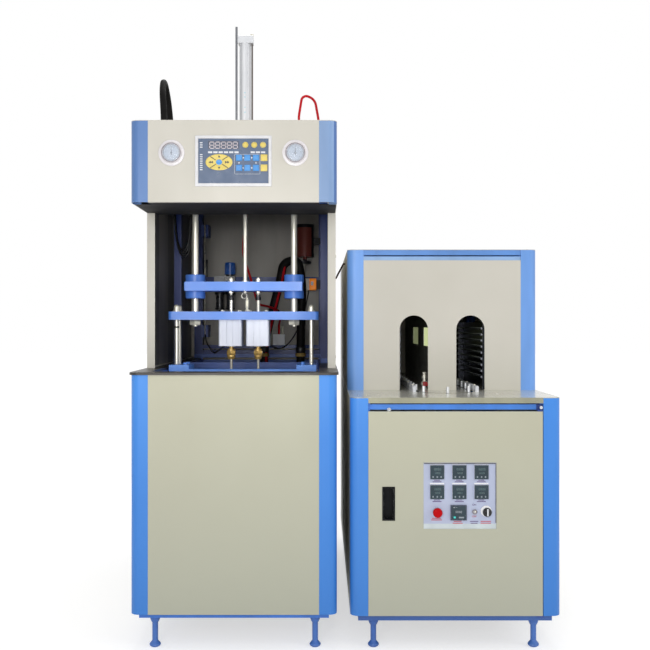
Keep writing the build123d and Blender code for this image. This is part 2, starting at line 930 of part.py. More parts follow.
# Fixed top platen inside the head box
with BuildPart() as top_platen:
    block(
        (blow_x - top_platen_width / 2, blow_x + top_platen_width / 2),
        head_y,
        (top_platen_z, top_platen_z + top_platen_thick),
    )
    for side in (-1, 1):
        upright(
            blow_x + side * guide_half,
            axis_y,
            (top_platen_z, top_platen_z + top_platen_thick),
            stud_radius + running,
            Mode.SUBTRACT,
        )
    upright(
        cylinder_x,
        axis_y,
        (top_platen_z, top_platen_z + top_platen_thick),
        piston_rod_radius + running,
        Mode.SUBTRACT,
    )
save(top_platen.part, "top_platen")

# Fixed lower platen with rounded front corners, carrying the sealing cylinders
platen_top = platen_z + platen_thick
with BuildPart() as lower_platen:
    with BuildSketch(Plane.XY.offset(platen_z)):
        with Locations((blow_x, axis_y)):
            RectangleRounded(platen_width, platen_depth, platen_corner)
        for side in (-1, 1):
            with Locations((blow_x + side * guide_half, axis_y)):
                Circle(stud_radius + running, mode=Mode.SUBTRACT)
            with Locations((blow_x + side * cavity_half, axis_y)):
                Circle(seal_rod_radius + rod_clearance, mode=Mode.SUBTRACT)
            for row in (-1, 1):
                with Locations((blow_x + side * stay_half, axis_y + row * stay_pitch / 2)):
                    Circle(stay_radius + running, mode=Mode.SUBTRACT)
    extrude(amount=platen_thick)
save(lower_platen.part, "lower_platen")

# Guide rods with turned-down ends, and the four stay rods
rod_low = platen_z - nut_height - thread_past
rod_high = top_platen_z + top_platen_thick + nut_height + thread_past
stay_low = clamp_top + stay_seat
stay_high = platen_top + dome_height - dome_wall
with BuildPart() as platen_rods:
    for side in (-1, 1):
        x = blow_x + side * guide_half
        upright(x, axis_y, (rod_low, rod_high), stud_radius)
        upright(x, axis_y, (platen_top, top_platen_z), guide_radius)
        for row in (-1, 1):
            y = axis_y + row * stay_pitch / 2
            upright(blow_x + side * stay_half, y, (stay_low, stay_high), stay_radius)
save(platen_rods.part, "platen_rods")

# Nuts of the guide rods, and the flanged dome nuts of the stay rods
with BuildPart() as platen_nuts:
    for side in (-1, 1):
        x = blow_x + side * guide_half
        hex_nut(x, axis_y, platen_z - nut_height, nut_flats, nut_height, stud_radius + running)
        top_face = top_platen_z + top_platen_thick
        hex_nut(x, axis_y, top_face, nut_flats, nut_height, stud_radius + running)
        for row in (-1, 1):
            x = blow_x + side * stay_half
            y = axis_y + row * stay_pitch / 2
            upright(x, y, (platen_top, platen_top + dome_flange_thick), dome_flange)
            upright(x, y, (platen_top, platen_top + dome_neck), dome_radius)
            with Locations((x, y, platen_top + dome_neck)):
                Sphere(dome_radius)
            blind = (platen_top - cut_past, stay_high + running)
            upright(x, y, blind, stay_radius + running, Mode.SUBTRACT)
save(platen_nuts.part, "platen_nuts")

# Saddle blocks on the shoulders of the fixed mould platen, which hold the stay rods
saddle_y = depth_span(front_plate[0], front_plate[0] + saddle_length)
with BuildPart() as stay_saddles:
    for side in (-1, 1):
        near_x = blow_x + side * saddle_inner
        span = sorted((near_x, near_x + side * saddle_width))
        block(span, saddle_y, (clamp_top, saddle_top))
        for row in (-1, 1):
            y = axis_y + row * stay_pitch / 2
            boss_x = near_x + side * saddle_boss_inset
            upright(boss_x, y, (saddle_top, saddle_top + saddle_boss_height), saddle_boss_radius)
            hole = (stay_low, saddle_top + cut_past)
            upright(blow_x + side * stay_half, y, hole, stay_radius + running, Mode.SUBTRACT)
save(stay_saddles.part, "stay_saddles")

# Moving crosshead
cross_top = cross_z + cross_thick
with BuildPart() as crosshead:
    with BuildSketch(Plane.XY.offset(cross_z)):
        with Locations((blow_x, axis_y)):
            RectangleRounded(cross_width, platen_depth, cross_corner)
        for side in (-1, 1):
            with Locations((blow_x + side * guide_half, axis_y)):
                Circle(bush_core + running, mode=Mode.SUBTRACT)
            with Locations((blow_x + side * cavity_half, axis_y)):
                Circle(stretch_radius + running, mode=Mode.SUBTRACT)
        with Locations((cylinder_x, axis_y)):
            Circle(piston_rod_radius + running, mode=Mode.SUBTRACT)
    extrude(amount=cross_thick)
save(crosshead.part, "crosshead")

# Flanged guide bushes pressed through the crosshead
with BuildPart() as guide_bushes:
    for side in (-1, 1):
        x = blow_x + side * guide_half
        upright(x, axis_y, (cross_top, cross_top + bush_top), bush_radius)
        upright(x, axis_y, (cross_z - bush_bottom, cross_z), bush_radius)
        upright(x, axis_y, (cross_z, cross_top), bush_core)
    ends = guide_bushes.faces().filter_by(Axis.Z).group_by(Axis.Z)
    chamfer((ends[0] + ends[-1]).edges(), edge_break)
    for side in (-1, 1):
        x = blow_x + side * guide_half
        through = (cross_z - bush_bottom, cross_top + bush_top)
        upright(x, axis_y, through, guide_radius + running, Mode.SUBTRACT)
save(guide_bushes.part, "guide_bushes")

# Piston rod with its piston, a threaded end and a jam nut on the crosshead
piston_z = cylinder_z + cylinder_base + piston_clear
with BuildPart() as piston_rod:
    upright(cylinder_x, axis_y, (cross_z - piston_rod_past, piston_z), piston_rod_radius)
    upright(cylinder_x, axis_y, (cross_top, cross_top + jam_nut_height), jam_nut_radius)
    upright(cylinder_x, axis_y, (piston_z, piston_z + piston_height), cylinder_bore - running)
save(piston_rod.part, "piston_rod")

# Stretch rods with round tips, each held by a nut above and below the crosshead
with BuildPart() as stretch_rods:
    for side in (-1, 1):
        x = blow_x + side * cavity_half
        rod_top = cross_top + small_nut_top + stretch_thread_past
        upright(x, axis_y, (stretch_tip_z, rod_top), stretch_radius)
    tips = stretch_rods.faces().filter_by(Axis.Z).group_by(Axis.Z)[0]
    fillet(tips.edges(), stretch_tip_radius)
    for side in (-1, 1):
        x = blow_x + side * cavity_half
        hole = stretch_radius + running
        hex_nut(x, axis_y, cross_top, small_nut, small_nut_top, hole)
        hex_nut(x, axis_y, cross_z - small_nut_low, small_nut, small_nut_low, hole)
save(stretch_rods.part, "stretch_rods")

# Stretch cylinder: foot flange, barrel and an end cap that also takes the air pipe
with BuildPart() as cylinder_foot:
    block(
        (cylinder_x - cylinder_cap, cylinder_x + cylinder_cap),
        (axis_y - cylinder_cap, axis_y + cylinder_cap),
        (cylinder_z, cylinder_z + cylinder_base),
    )
    upright(
        cylinder_x,
        axis_y,
        (cylinder_z, cylinder_z + cylinder_base),
        piston_rod_radius + running,
        Mode.SUBTRACT,
    )
with BuildPart() as barrel:
    low = cylinder_z + cylinder_base
    high = cylinder_top - cylinder_cap
    upright(cylinder_x, axis_y, (low, high), cylinder_radius)
    upright(cylinder_x, axis_y, (low, high), cylinder_bore, Mode.SUBTRACT)
cap_left_x = cylinder_x - cylinder_cap_left
with BuildPart() as end_cap:
    block(
        (cap_left_x, cap_left_x + cylinder_cap_width),
        (axis_y - cylinder_radius, axis_y + cylinder_radius),
        (cylinder_top - cylinder_cap, cylinder_top),
    )
    chamfer(end_cap.faces().sort_by(Axis.Z)[-1].edges(), edge_break)
pipe_low = head_top_z + pipe_start
with BuildPart() as air_pipe:
    upright(pipe_x, axis_y, (pipe_low, cylinder_top - cylinder_cap), pipe_radius)
    block(
        (cylinder_x + cylinder_radius, pipe_x + pipe_radius),
        (axis_y - pipe_radius, axis_y + pipe_radius),
        (pipe_low, pipe_low + pipe_clip),
    )
with BuildPart() as sensor_strip:
    block(
        (strip_x - strip_width / 2, strip_x + strip_width / 2),
        (axis_y - strip_thick / 2, axis_y + strip_thick / 2),
        (cylinder_z, strip_top),
    )
    block(
        (strip_x + strip_width / 2, cap_left_x),
        (axis_y - strip_thick / 2, axis_y + strip_thick / 2),
        (cylinder_top - cylinder_cap + strip_clip_inset, cylinder_top - strip_clip_inset),
    )
pieces = (cylinder_foot, barrel, end_cap, air_pipe, sensor_strip)
stretch_cylinder = Compound([piece.part.solid() for piece in pieces])
save(stretch_cylinder, "stretch_cylinder")

# Square sealing cylinder bodies with their sensor grooves
seal_low = platen_z - seal_height
with BuildPart() as seal_cylinders:
    for side in (-1, 1):
        x = blow_x + side * cavity_half
        with BuildSketch(Plane.XY.offset(seal_low)) as body:
            with Locations((x, axis_y)):
                RectangleRounded(seal_body, seal_body, seal_corner)
                with GridLocations(groove_pitch, seal_body, 2, 2):
                    Rectangle(groove_width, 2 * groove_depth, mode=Mode.SUBTRACT)
                Circle(seal_rod_radius + running, mode=Mode.SUBTRACT)
        extrude(body.sketch, amount=seal_height)
save(seal_cylinders.part, "seal_cylinders")

# Hollow sealing rods: top fitting, chromed tube, neck and turned nozzle
bore = stretch_radius + running
neck_top = seal_low - seam
nozzle_top = neck_top - seal_neck
nozzle_low = nozzle_top - nozzle_height
for side, label in ((-1, "left_seal_rod"), (1, "right_seal_rod")):
    with BuildPart() as seal_rod:
        with BuildSketch(Plane.XZ) as section:
            with BuildLine():
                Polyline(
                    (bore, nozzle_low),
                    (nozzle_tip_radius, nozzle_low),
                    (nozzle_radius, nozzle_low + nozzle_taper),
                    (nozzle_radius, nozzle_top - nozzle_ring - 2 * nozzle_groove),
                    (nozzle_radius - nozzle_groove, nozzle_top - nozzle_ring - nozzle_groove),
                    (nozzle_radius, nozzle_top - nozzle_ring),
                    (nozzle_radius, nozzle_top),
                    (seal_neck_radius, nozzle_top),
                    (seal_neck_radius, neck_top),
                    (seal_rod_radius, neck_top),
                    (seal_rod_radius, fitting_z),
                    (fitting_radius, fitting_z),
                    (fitting_radius, fitting_z + fitting_body),
                    (seal_neck_radius, fitting_z + fitting_body + fitting_step),
                    (seal_neck_radius, fitting_z + fitting_height),
                    (bore, fitting_z + fitting_height),
                    close=True,
                )
            make_face()
        turned = revolve(section.sketch, axis=Axis.Z, mode=Mode.PRIVATE)
        add(turned.moved(Location((blow_x + side * cavity_half, axis_y, 0))))
    save(seal_rod.part, label)

# Fixed clamp platens, front and rear, standing on the bed bars
bed_top = bed_z + tube
rear_plate = (clamp_rear_depth, clamp_rear_depth + clamp_plate)
tie_places = [(side * tie_half, z) for side in (-1, 1) for z in (tie_low, tie_high)]
shoulder_half = saddle_inner + saddle_width
strip_half = saddle_inner - seam
with BuildPart() as mould_platens:
    across = (blow_x - shoulder_half, blow_x + shoulder_half)
    block(across, depth_span(*front_plate), (bed_top, clamp_top))
    across = (blow_x - strip_half, blow_x + strip_half)
    block(across, depth_span(*front_plate), (clamp_top, clamp_strip))
    across = (blow_x - clamp_half, blow_x + clamp_half)
    block(across, depth_span(*rear_plate), (bed_top, clamp_top))
    for span in (front_plate, rear_plate):
        for x, z in tie_places:
            lengthwise(blow_x + x, z, depth_span(*span), tie_radius + running, Mode.SUBTRACT)
    hole = clamp_rod_radius + running
    lengthwise(blow_x, clamp_rod_z, depth_span(*rear_plate), hole, Mode.SUBTRACT)
save(mould_platens.part, "mould_platens")

# Moving platen, drawn back to open the mould
open_face = axis_depth + mould_open
moving_plate = (open_face + mould_thick, open_face + mould_thick + clamp_plate)
with BuildPart() as moving_platen:
    across = (blow_x - clamp_half, blow_x + clamp_half)
    block(across, depth_span(*moving_plate), (bed_top + sheet, clamp_top))
    for x, z in tie_places:
        hole = tie_radius + running
        lengthwise(blow_x + x, z, depth_span(*moving_plate), hole, Mode.SUBTRACT)
save(moving_platen.part, "moving_platen")

# Tie bars with their end nuts
tie_past = tie_nut_height + thread_past
tie_span = (front_plate[0] - tie_past, rear_plate[1] + tie_past)
with BuildPart() as tie_bars:
    for x, z in tie_places:
        lengthwise(blow_x + x, z, depth_span(*tie_span), tie_radius)
        for start in (front_plate[0] - tie_nut_height, rear_plate[1]):
            with BuildSketch(Plane.XZ.offset(-(y_front + start))) as nut:
                with Locations((blow_x + x, z)):
                    RegularPolygon(tie_nut / 2, 6, major_radius=False)
            extrude(nut.sketch, amount=-tie_nut_height)
save(tie_bars.part, "tie_bars")


def bottle_cavity(x, y):
    """A bottle-shaped solid whose axis stands at x, y, for sinking into a mould half."""
    with BuildPart() as bottle:
        with BuildSketch(Plane.XZ):
            with BuildLine():
                Polyline(
                    (0, bottle_base_z),
                    (bottle_radius - bottle_heel, bottle_base_z),
                    (bottle_radius, bottle_base_z + bottle_heel_rise),
                    (bottle_radius, bottle_body_z),
                    (bottle_radius - bottle_shoulder_in, bottle_body_z + bottle_shoulder_rise),
                    (bottle_neck, bottle_shoulder_z),
                    (bottle_neck, mould_top + cut_past),
                    (0, mould_top + cut_past),
                    close=True,
                )
            make_face()
        revolve(axis=Axis.Z)
    return bottle.part.moved(Location((x, y, 0)))


# Mould halves with half a bottle sunk in each face twice
front_half = (axis_depth - mould_thick, axis_depth)
rear_half = (open_face, open_face + mould_thick)
for span, face, label in (
    (front_half, axis_depth, "front_mould"),
    (rear_half, open_face, "rear_mould"),
):
    with BuildPart() as mould:
        across = (blow_x - mould_width / 2, blow_x + mould_width / 2)
        block(across, depth_span(*span), (mould_bottom, mould_top))
        for side in (-1, 1):
            cavity = bottle_cavity(blow_x + side * cavity_half, y_front + face)
            add(cavity, mode=Mode.SUBTRACT)
    save(mould.part, label)

# Clamp cylinder behind the rear platen
barrel_start = rear_plate[1]
barrel_end = barrel_start + barrel_length
with BuildPart() as clamp_cylinder:
    lengthwise(blow_x, clamp_rod_z, depth_span(barrel_start, barrel_end), barrel_radius)
    hollow = depth_span(barrel_start, barrel_end - barrel_cap)
    lengthwise(blow_x, clamp_rod_z, hollow, barrel_bore, Mode.SUBTRACT)
save(clamp_cylinder.part, "clamp_cylinder")

# Clamp rod and its piston
rod_end = barrel_end - barrel_cap - clamp_stroke_spare
with BuildPart() as clamp_rod:
    lengthwise(blow_x, clamp_rod_z, depth_span(moving_plate[1], rod_end), clamp_rod_radius)
    piston_span = depth_span(rod_end - clamp_piston, rod_end)
    lengthwise(blow_x, clamp_rod_z, piston_span, barrel_bore - running)
save(clamp_rod.part, "clamp_rod")

# Filter and regulator on the upper rear bar
beam_face = rear_bar_y[0]
unit_y = (beam_face - unit_depth, beam_face)
unit_top = unit_z + unit_height
unit_middle = beam_face - unit_depth / 2
with BuildPart() as filter_regulator:
    for x in (filter_x, regulator_x):
        span = (blow_x + x - unit_width / 2, blow_x + x + unit_width / 2)
        block(span, unit_y, (unit_z, unit_top))
        bowl = (unit_z - bowl_height, unit_z)
        upright(blow_x + x, unit_middle, bowl, bowl_radius)
    block(
        (blow_x + filter_x, blow_x + regulator_x),
        (unit_middle - bridge_half, unit_middle + bridge_half),
        (unit_z + bridge_low, unit_z + bridge_high),
    )
    x = blow_x + regulator_x
    collar = (unit_top, unit_top + collar_height)
    upright(x, unit_middle, collar, knob_radius - collar_inset)
    collar = (unit_top, unit_top + collar_height + cut_past)
    upright(x, unit_middle, collar, knob_stem + running, Mode.SUBTRACT)
save(filter_regulator.part, "filter_regulator")
with BuildPart() as regulator_knob:
    knob_low = unit_top + collar_height + plate_gap
    x = blow_x + regulator_x
    upright(x, unit_middle, (knob_low, knob_low + knob_height), knob_radius)
    chamfer(regulator_knob.faces().sort_by(Axis.Z)[-1].edges(), knob_break)
    upright(x, unit_middle, (unit_top + seam, knob_low), knob_stem)
save(regulator_knob.part, "regulator_knob")

# Exhaust silencer, solenoid valve, muffler and quick exhaust block at the back
post_face = y_front + post_two_depth - tube / 2
with BuildPart() as rear_valves:
    silencer_y = post_face - silencer_radius - silencer_gap
    x = blow_x + silencer_x
    upright(x, silencer_y, (silencer_z, silencer_z + silencer_height), silencer_radius)
    upright(x, silencer_y, (silencer_z - silencer_port, silencer_z), port_radius)
    arm = (x, blow_x + blow_frame_half - tube / 2)
    middle = silencer_z + silencer_height / 2
    block(arm, (silencer_y, post_face), (middle - bracket_half, middle + bracket_half))
    wide, deep, tall = valve_size
    valve_span = (blow_x + valve_x - wide / 2, blow_x + valve_x + wide / 2)
    block(valve_span, (post_face - deep, post_face), (valve_z, valve_z + tall))
    foot_plate = (blow_x + valve_x, blow_x + blow_frame_half - foot_plate_inset)
    plate_z_span = (valve_z + foot_plate_thick, valve_z + tall - foot_plate_thick)
    block(foot_plate, (post_face - foot_plate_thick, post_face), plate_z_span)
    x = blow_x + muffler_x
    muffler_y = beam_face - muffler_radius
    upright(x, muffler_y, (muffler_z, muffler_z + muffler_height), muffler_radius)
    upright(x, muffler_y, (rear_bars[1][0], muffler_z), port_radius)
    elbow = (rear_bars[1][0], rear_bars[1][0] + elbow_height)
    block((x - elbow_half, x + elbow_half), (muffler_y, beam_face), elbow)
    wide, tall = exhaust_size
    seat_z = rear_bars[1][0] + rear_bars[1][1]
    block(
        (blow_x + exhaust_x - wide / 2, blow_x + exhaust_x + wide / 2),
        rear_bar_y,
        (seat_z, seat_z + tall),
    )
save(rear_valves.part, "rear_valves")

# Rear door of the blowing cabinet, hung on its right edge seen from the front
door_half = blow_width / 2 - rear_flange - door_gap
rear_pivot = (blow_x + door_half + door_gap / 2, blow_back + knuckle_radius + seam)
door_low = rim_top + door_gap
door_high = roof_z - door_gap
with BuildPart() as rear_door:
    door_x = (blow_x - door_half, blow_x + door_half)
    pan(door_x, (blow_back - fold, blow_back), (door_low, door_high), "+y")
    with BuildSketch(Plane.XZ.offset(-blow_back)) as grip:
        with Locations((blow_x - door_half + grip_inset, (door_low + door_high) / 2)):
            SlotOverall(grip_length, grip_width, rotation=90)
    extrude(grip.sketch, amount=sheet * 2, both=True, mode=Mode.SUBTRACT)
    for level in hinge_levels:
        span = (level, level + knuckle_height)
        upright(rear_pivot[0], rear_pivot[1], span, knuckle_radius)
        block((rear_pivot[0] - hinge_leaf, rear_pivot[0]), (blow_back, blow_back + sheet), span)
        upright(rear_pivot[0], rear_pivot[1], span, knuckle_pin + running, Mode.SUBTRACT)
save(rear_door.part, "rear_door")

# Fixed hinge halves of both doors, with their pins, and the stops of the rear door
heat_door_right = heat_right - post_width - seam - hinge_gap
heat_pivot = (heat_door_right - pivot_inset, y_front + pivot_inset)
heat_door_top = front_rail_z - lug_thick - plate_gap
with BuildPart() as door_hinges:
    for level in hinge_levels:
        x, y = rear_pivot
        span = (level - plate_gap - knuckle_height, level - plate_gap)
        upright(x, y, span, knuckle_radius)
        block((x, x + fixed_leaf), (blow_back, blow_back + sheet), span)
        upright(x, y, (level - plate_gap, level + knuckle_height), knuckle_pin)
        width, height = stop_block
        inner_x = blow_x - blow_frame_half + tube
        stop_z = (level - height / 2, level + height / 2)
        stop_x = (inner_x, inner_x + width)
        block(stop_x, (rear_foot[0] - stop_front, blow_back - sheet - plate_gap), stop_z)
        wrap = (rear_foot[0] - stop_front, rear_foot[0])
        block((inner_x - stop_wrap, inner_x), wrap, stop_z)
    x, y = heat_pivot
    lug_x = (x - lug_reach, heat_door_right + hinge_gap)
    lug_y = (y_front + plate_gap, y_front + frame_inset)
    lug = (heat_cover_z - lug_thick - plate_gap, heat_cover_z - plate_gap)
    block(lug_x, lug_y, lug)
    upright(x, y, (lug[1], lug[1] + pin_reach), pivot_radius)
    lug = (front_rail_z - lug_thick, front_rail_z)
    block(lug_x, lug_y, lug)
    tab = (y_front + frame_inset - lug_tab, y_front + frame_inset)
    block(lug_x, tab, (front_rail_z, front_rail_z + front_rail_height))
    upright(x, y, (lug[0] - pin_reach, lug[0]), pivot_radius)
save(door_hinges.part, "door_hinges")

# Heater door: a folded pan with openings for the pull and the control plate
heat_door_left = heat_left + post_width + seam * 2
pull_cut = (pull_width - 2 * pull_lip, pull_height - 2 * pull_lip)
with BuildPart() as heater_door:
    door_x = (heat_door_left, heat_door_right)
    pan(door_x, depth_span(0, door_fold), (heat_cover_z, heat_door_top), "-y")
    with BuildSketch(Plane.XZ.offset(-y_front)) as openings:
        with Locations((heat_left + pull_inset, pull_z)):
            Rectangle(*pull_cut)
        with Locations((heat_x + plate_x, plate_z)):
            Rectangle(plate_width, plate_height)
    extrude(openings.sketch, amount=sheet * 2, both=True, mode=Mode.SUBTRACT)
    block_x = (heat_pivot[0] - pivot_block, heat_door_right)
    for low in (heat_cover_z, heat_door_top - pivot_block):
        block(block_x, depth_span(0, pivot_block_depth), (low, low + pivot_block))
    hole = pivot_radius + running
    upright(*heat_pivot, (heat_cover_z, heat_cover_z + pivot_hole), hole, Mode.SUBTRACT)
    upright(*heat_pivot, (heat_door_top - pivot_hole, heat_door_top), hole, Mode.SUBTRACT)
save(heater_door.part, "heater_door")

# Flush pull, a black moulded cup set into the door
with BuildPart() as door_handle:
    x = heat_left + pull_inset
    wide, tall = pull_cut
    block(
        (x - pull_width / 2, x + pull_width / 2),
        depth_span(-pull_flange, 0),
        (pull_z - pull_height / 2, pull_z + pull_height / 2),
    )
    block(
        (x - wide / 2 + seam, x + wide / 2 - seam),
        depth_span(0, pull_depth),
        (pull_z - tall / 2 + seam, pull_z + tall / 2 - seam),
    )
    block(
        (x - wide / 2 + pull_wall, x + wide / 2 - pull_wall),
        depth_span(-pull_flange, pull_depth - pull_wall),
        (pull_z - tall / 2 + pull_wall, pull_z + tall / 2 - pull_wall),
        Mode.SUBTRACT,
    )
save(door_handle.part, "door_handle")

# Control plate behind the window in the door
plate_front = plate_recess
plate_back = plate_recess + plate_thick
panel_plane = Plane.XZ.offset(-(y_front + plate_front))
with BuildPart() as control_plate:
    x = heat_x + plate_x
    block(
        (x - plate_width / 2 - plate_margin, x + plate_width / 2 + plate_margin),
        depth_span(plate_front + seat_gap, plate_back),
        (plate_z - plate_height / 2 - plate_margin, plate_z + plate_height / 2 + plate_margin),
    )
    with BuildSketch(panel_plane) as cuts:
        for column in meter_columns:
            for row in meter_rows:
                with Locations((heat_x + column, row)):
                    Rectangle(meter_cut, meter_cut)
        with Locations((heat_x + timer_x, timer_z)):
            cut = 2 * timer_body_inset - fine_break
            Rectangle(timer_size[0] - cut, timer_size[1] - cut)
        for x in (button_x, selector_x):
            with Locations((heat_x + x, button_z)):
                Circle(switch_barrel + hole_clearance)
        with Locations((heat_x + toggle_x, button_z)):
            Circle(toggle_barrel + hole_clearance)
    extrude(cuts.sketch, amount=sheet * 3, both=True, mode=Mode.SUBTRACT)
save(control_plate.part, "control_plate")

# Instruments in the plate: temperature controllers, timer and the switch collars
face_y = plate_front + seat_gap
with BuildPart() as panel_instruments:
    for column in meter_columns:
        for row in meter_rows:
            x = heat_x + column
            half = meter_size / 2
            face = depth_span(face_y - meter_face, face_y)
            block((x - half, x + half), face, (row - half, row + half))
            half = meter_body / 2
            block((x - half, x + half), depth_span(face_y, meter_depth), (row - half, row + half))
    x = heat_x + timer_x
    wide, tall = timer_size
    block(
        (x - wide / 2, x + wide / 2),
        depth_span(face_y - meter_face - timer_proud, face_y),
        (timer_z - tall / 2, timer_z + tall / 2),
    )
    block(
        (x - wide / 2 + timer_body_inset, x + wide / 2 - timer_body_inset),
        depth_span(face_y, meter_depth),
        (timer_z - tall / 2 + timer_body_inset, timer_z + tall / 2 - timer_body_inset),
    )
    for x, bore_radius in ((button_x, button_stem), (selector_x, selector_stem)):
        lengthwise(heat_x + x, button_z, depth_span(face_y - collar_thick, face_y), collar_radius)
        lengthwise(heat_x + x, button_z, depth_span(face_y, switch_depth), switch_barrel)
        hole = depth_span(face_y - collar_thick, switch_bore_depth)
        lengthwise(heat_x + x, button_z, hole, bore_radius + running, Mode.SUBTRACT)
    # Nut and barrel of the toggle, with the seat of its hub and the slot for its lever
    x = heat_x + toggle_x
    toggle_face = face_y - toggle_nut
    toggle_pivot = (x, y_front + toggle_face + toggle_set, button_z)
    lengthwise(x, button_z, depth_span(toggle_face, face_y), toggle_nut_radius)
    lengthwise(x, button_z, depth_span(face_y, toggle_depth), toggle_barrel)
    seat_half = toggle_hub_half + running
    with Locations(toggle_pivot):
        Cylinder(toggle_hub + running, 2 * seat_half, rotation=(0, 90, 0), mode=Mode.SUBTRACT)
    slot_z_span = (button_z - toggle_slot, button_z + toggle_slot)
    slot_y = depth_span(toggle_face - cut_past, toggle_face + toggle_set)
    block((x - seat_half, x + seat_half), slot_y, slot_z_span, Mode.SUBTRACT)
save(panel_instruments.part, "panel_instruments")

# Red mushroom stop button
head_back = face_y - collar_thick - button_travel - fine_break
with BuildPart() as stop_button:
    with BuildSketch(Plane.XY) as section:
        with BuildLine():
            crown_x = button_radius - button_crown
            crown_y = button_reach - button_crown
            Line((0, button_reach), (crown_x, button_reach))
            CenterArc((crown_x, crown_y), button_crown, 0, 90)
            Polyline(
                (button_radius, crown_y),
                (button_radius, -head_back + button_skirt),
                (button_radius - button_bevel, -head_back),
                (button_stem, -head_back),
                (button_stem, -button_stem_length),
                (0, -button_stem_length),
                (0, button_reach),
            )
        make_face()
    turned = revolve(section.sketch, axis=Axis.Y, mode=Mode.PRIVATE)
    add(turned.moved(Location((heat_x + button_x, y_front, button_z), (0, 0, 180))))
save(stop_button.part, "stop_button")

# Toggle lever, at rest in its upper place
with BuildPart() as toggle_lever:
    lean = math.radians(90 + toggle_tilt)
    along = (0, -math.sin(lean), -math.cos(lean))
    with Locations(toggle_pivot):
        Cylinder(toggle_hub, 2 * toggle_hub_half, rotation=(0, 90, 0))
    with BuildSketch(Plane(origin=toggle_pivot, x_dir=(1, 0, 0), z_dir=along)):
        Circle(toggle_root)
    extrude(amount=toggle_length, taper=toggle_taper)
save(toggle_lever.part, "toggle_lever")

# Rotary selector: a round skirt, a raised grip and the spindle behind it
with BuildPart() as selector_knob:
    centre = (heat_x + selector_x, y_front, button_z)
    dial = Plane(origin=centre, x_dir=(1, 0, 0), z_dir=(0, -1, 0))
    skirt_back = -(face_y - collar_thick - plate_gap)
    with BuildSketch(dial.offset(skirt_back)):
        Circle(selector_radius)
    extrude(amount=selector_skirt)
    with BuildSketch(dial.offset(skirt_back + selector_skirt)):
        grip_height = 2 * (selector_radius - selector_grip_inset)
        SlotOverall(grip_height, selector_grip_width, rotation=90)
    extrude(amount=selector_grip)
    with BuildSketch(dial.offset(skirt_back)):
        Circle(selector_stem)
    extrude(amount=-selector_stem_length)
save(selector_knob.part, "selector_knob")


def loop_place(distance):
    """Place and heading on the conveyor loop, counted from the front of the front turn."""
    quarter = math.pi * loop_radius / 2
    distance = distance % loop_total
    stretches = (quarter, loop_length, 2 * quarter, loop_length, quarter)
    front_y = y_front + turn_depths[0]
    back_y = y_front + turn_depths[1]
    if distance < stretches[0]:
        angle = distance / loop_radius
        x = math.sin(angle) * loop_radius
        return heat_x + x, front_y - math.cos(angle) * loop_radius, math.degrees(angle)
    distance -= stretches[0]
    if distance < stretches[1]:
        return heat_x + loop_radius, front_y + distance, 90.0
    distance -= stretches[1]
    if distance < stretches[2]:
        angle = distance / loop_radius
        x = math.cos(angle) * loop_radius
        return heat_x + x, back_y + math.sin(angle) * loop_radius, 90 + math.degrees(angle)
    distance -= stretches[2]
    if distance < stretches[3]:
        return heat_x - loop_radius, back_y - distance, -90.0
    distance -= stretches[3]
    angle = distance / loop_radius
    x = math.cos(angle) * loop_radius
    return heat_x - x, front_y - math.sin(angle) * loop_radius, math.degrees(angle) - 90


# Conveyor: spindle carriers joined by plain links, and the spindles on them
link_length = spindle_pitch - carrier_length + 2 * link_lap
spindle_body_top = worktop_z - sheet - spindle_body_gap
links = []
for index in range(spindle_count):
    x, y, heading = loop_place(index * spindle_pitch)
    with BuildPart() as carrier:
        with BuildSketch(Plane.XY.offset(chain_z)):
            with Locations(Location((x, y, 0), (0, 0, heading))):
                Rectangle(carrier_length, carrier_width)
        extrude(amount=carrier_thick)
        with BuildSketch(Plane.XY.offset(chain_z + carrier_thick)):
            with Locations((x, y)):
                RegularPolygon(spindle_body, 6)
        extrude(amount=spindle_body_top - chain_z - carrier_thick)
        upright(x, y, (spindle_body_top, worktop_z + spindle_reach), spindle_radius)
    links.append(carrier.part.solid())
    x, y, heading = loop_place((index + 0.5) * spindle_pitch)
    with BuildPart() as link:
        with BuildSketch(Plane.XY.offset(chain_z - carrier_thick - plate_gap)):
            with Locations(Location((x, y, 0), (0, 0, heading))):
                Rectangle(link_length, link_width)
        extrude(amount=carrier_thick)
    links.append(link.part.solid())
conveyor_chain = Compound(links)
save(conveyor_chain, "conveyor_chain")

# Conveyor drive: sprocket wheels at the two turns, their shafts and the gear motor
wheel_top = chain_z - carrier_thick - 2 * plate_gap
with BuildPart() as conveyor_drive:
    for middle in turn_depths:
        y = y_front + middle
        upright(heat_x, y, (wheel_top - sprocket_thick, wheel_top), loop_radius)
        upright(heat_x, y, (cross_bar_z + tube, wheel_top - sprocket_thick), bearing_radius)
    # Gear motor hung under the rear cross bar
    y = y_front + turn_depths[1]
    half = gearbox / 2
    block((heat_x - half, heat_x + half), (y - half, y + half), (cross_bar_z - gearbox, cross_bar_z))
    motor_low = cross_bar_z - gearbox - motor_length
    upright(heat_x, y, (motor_low, cross_bar_z - gearbox), motor_radius)
    for row in range(motor_ribs):
        ring = motor_low + rib_start + row * rib_pitch
        upright(heat_x, y, (ring, ring + rib_thick), motor_radius + rib_rise)
save(conveyor_drive.part, "conveyor_drive")

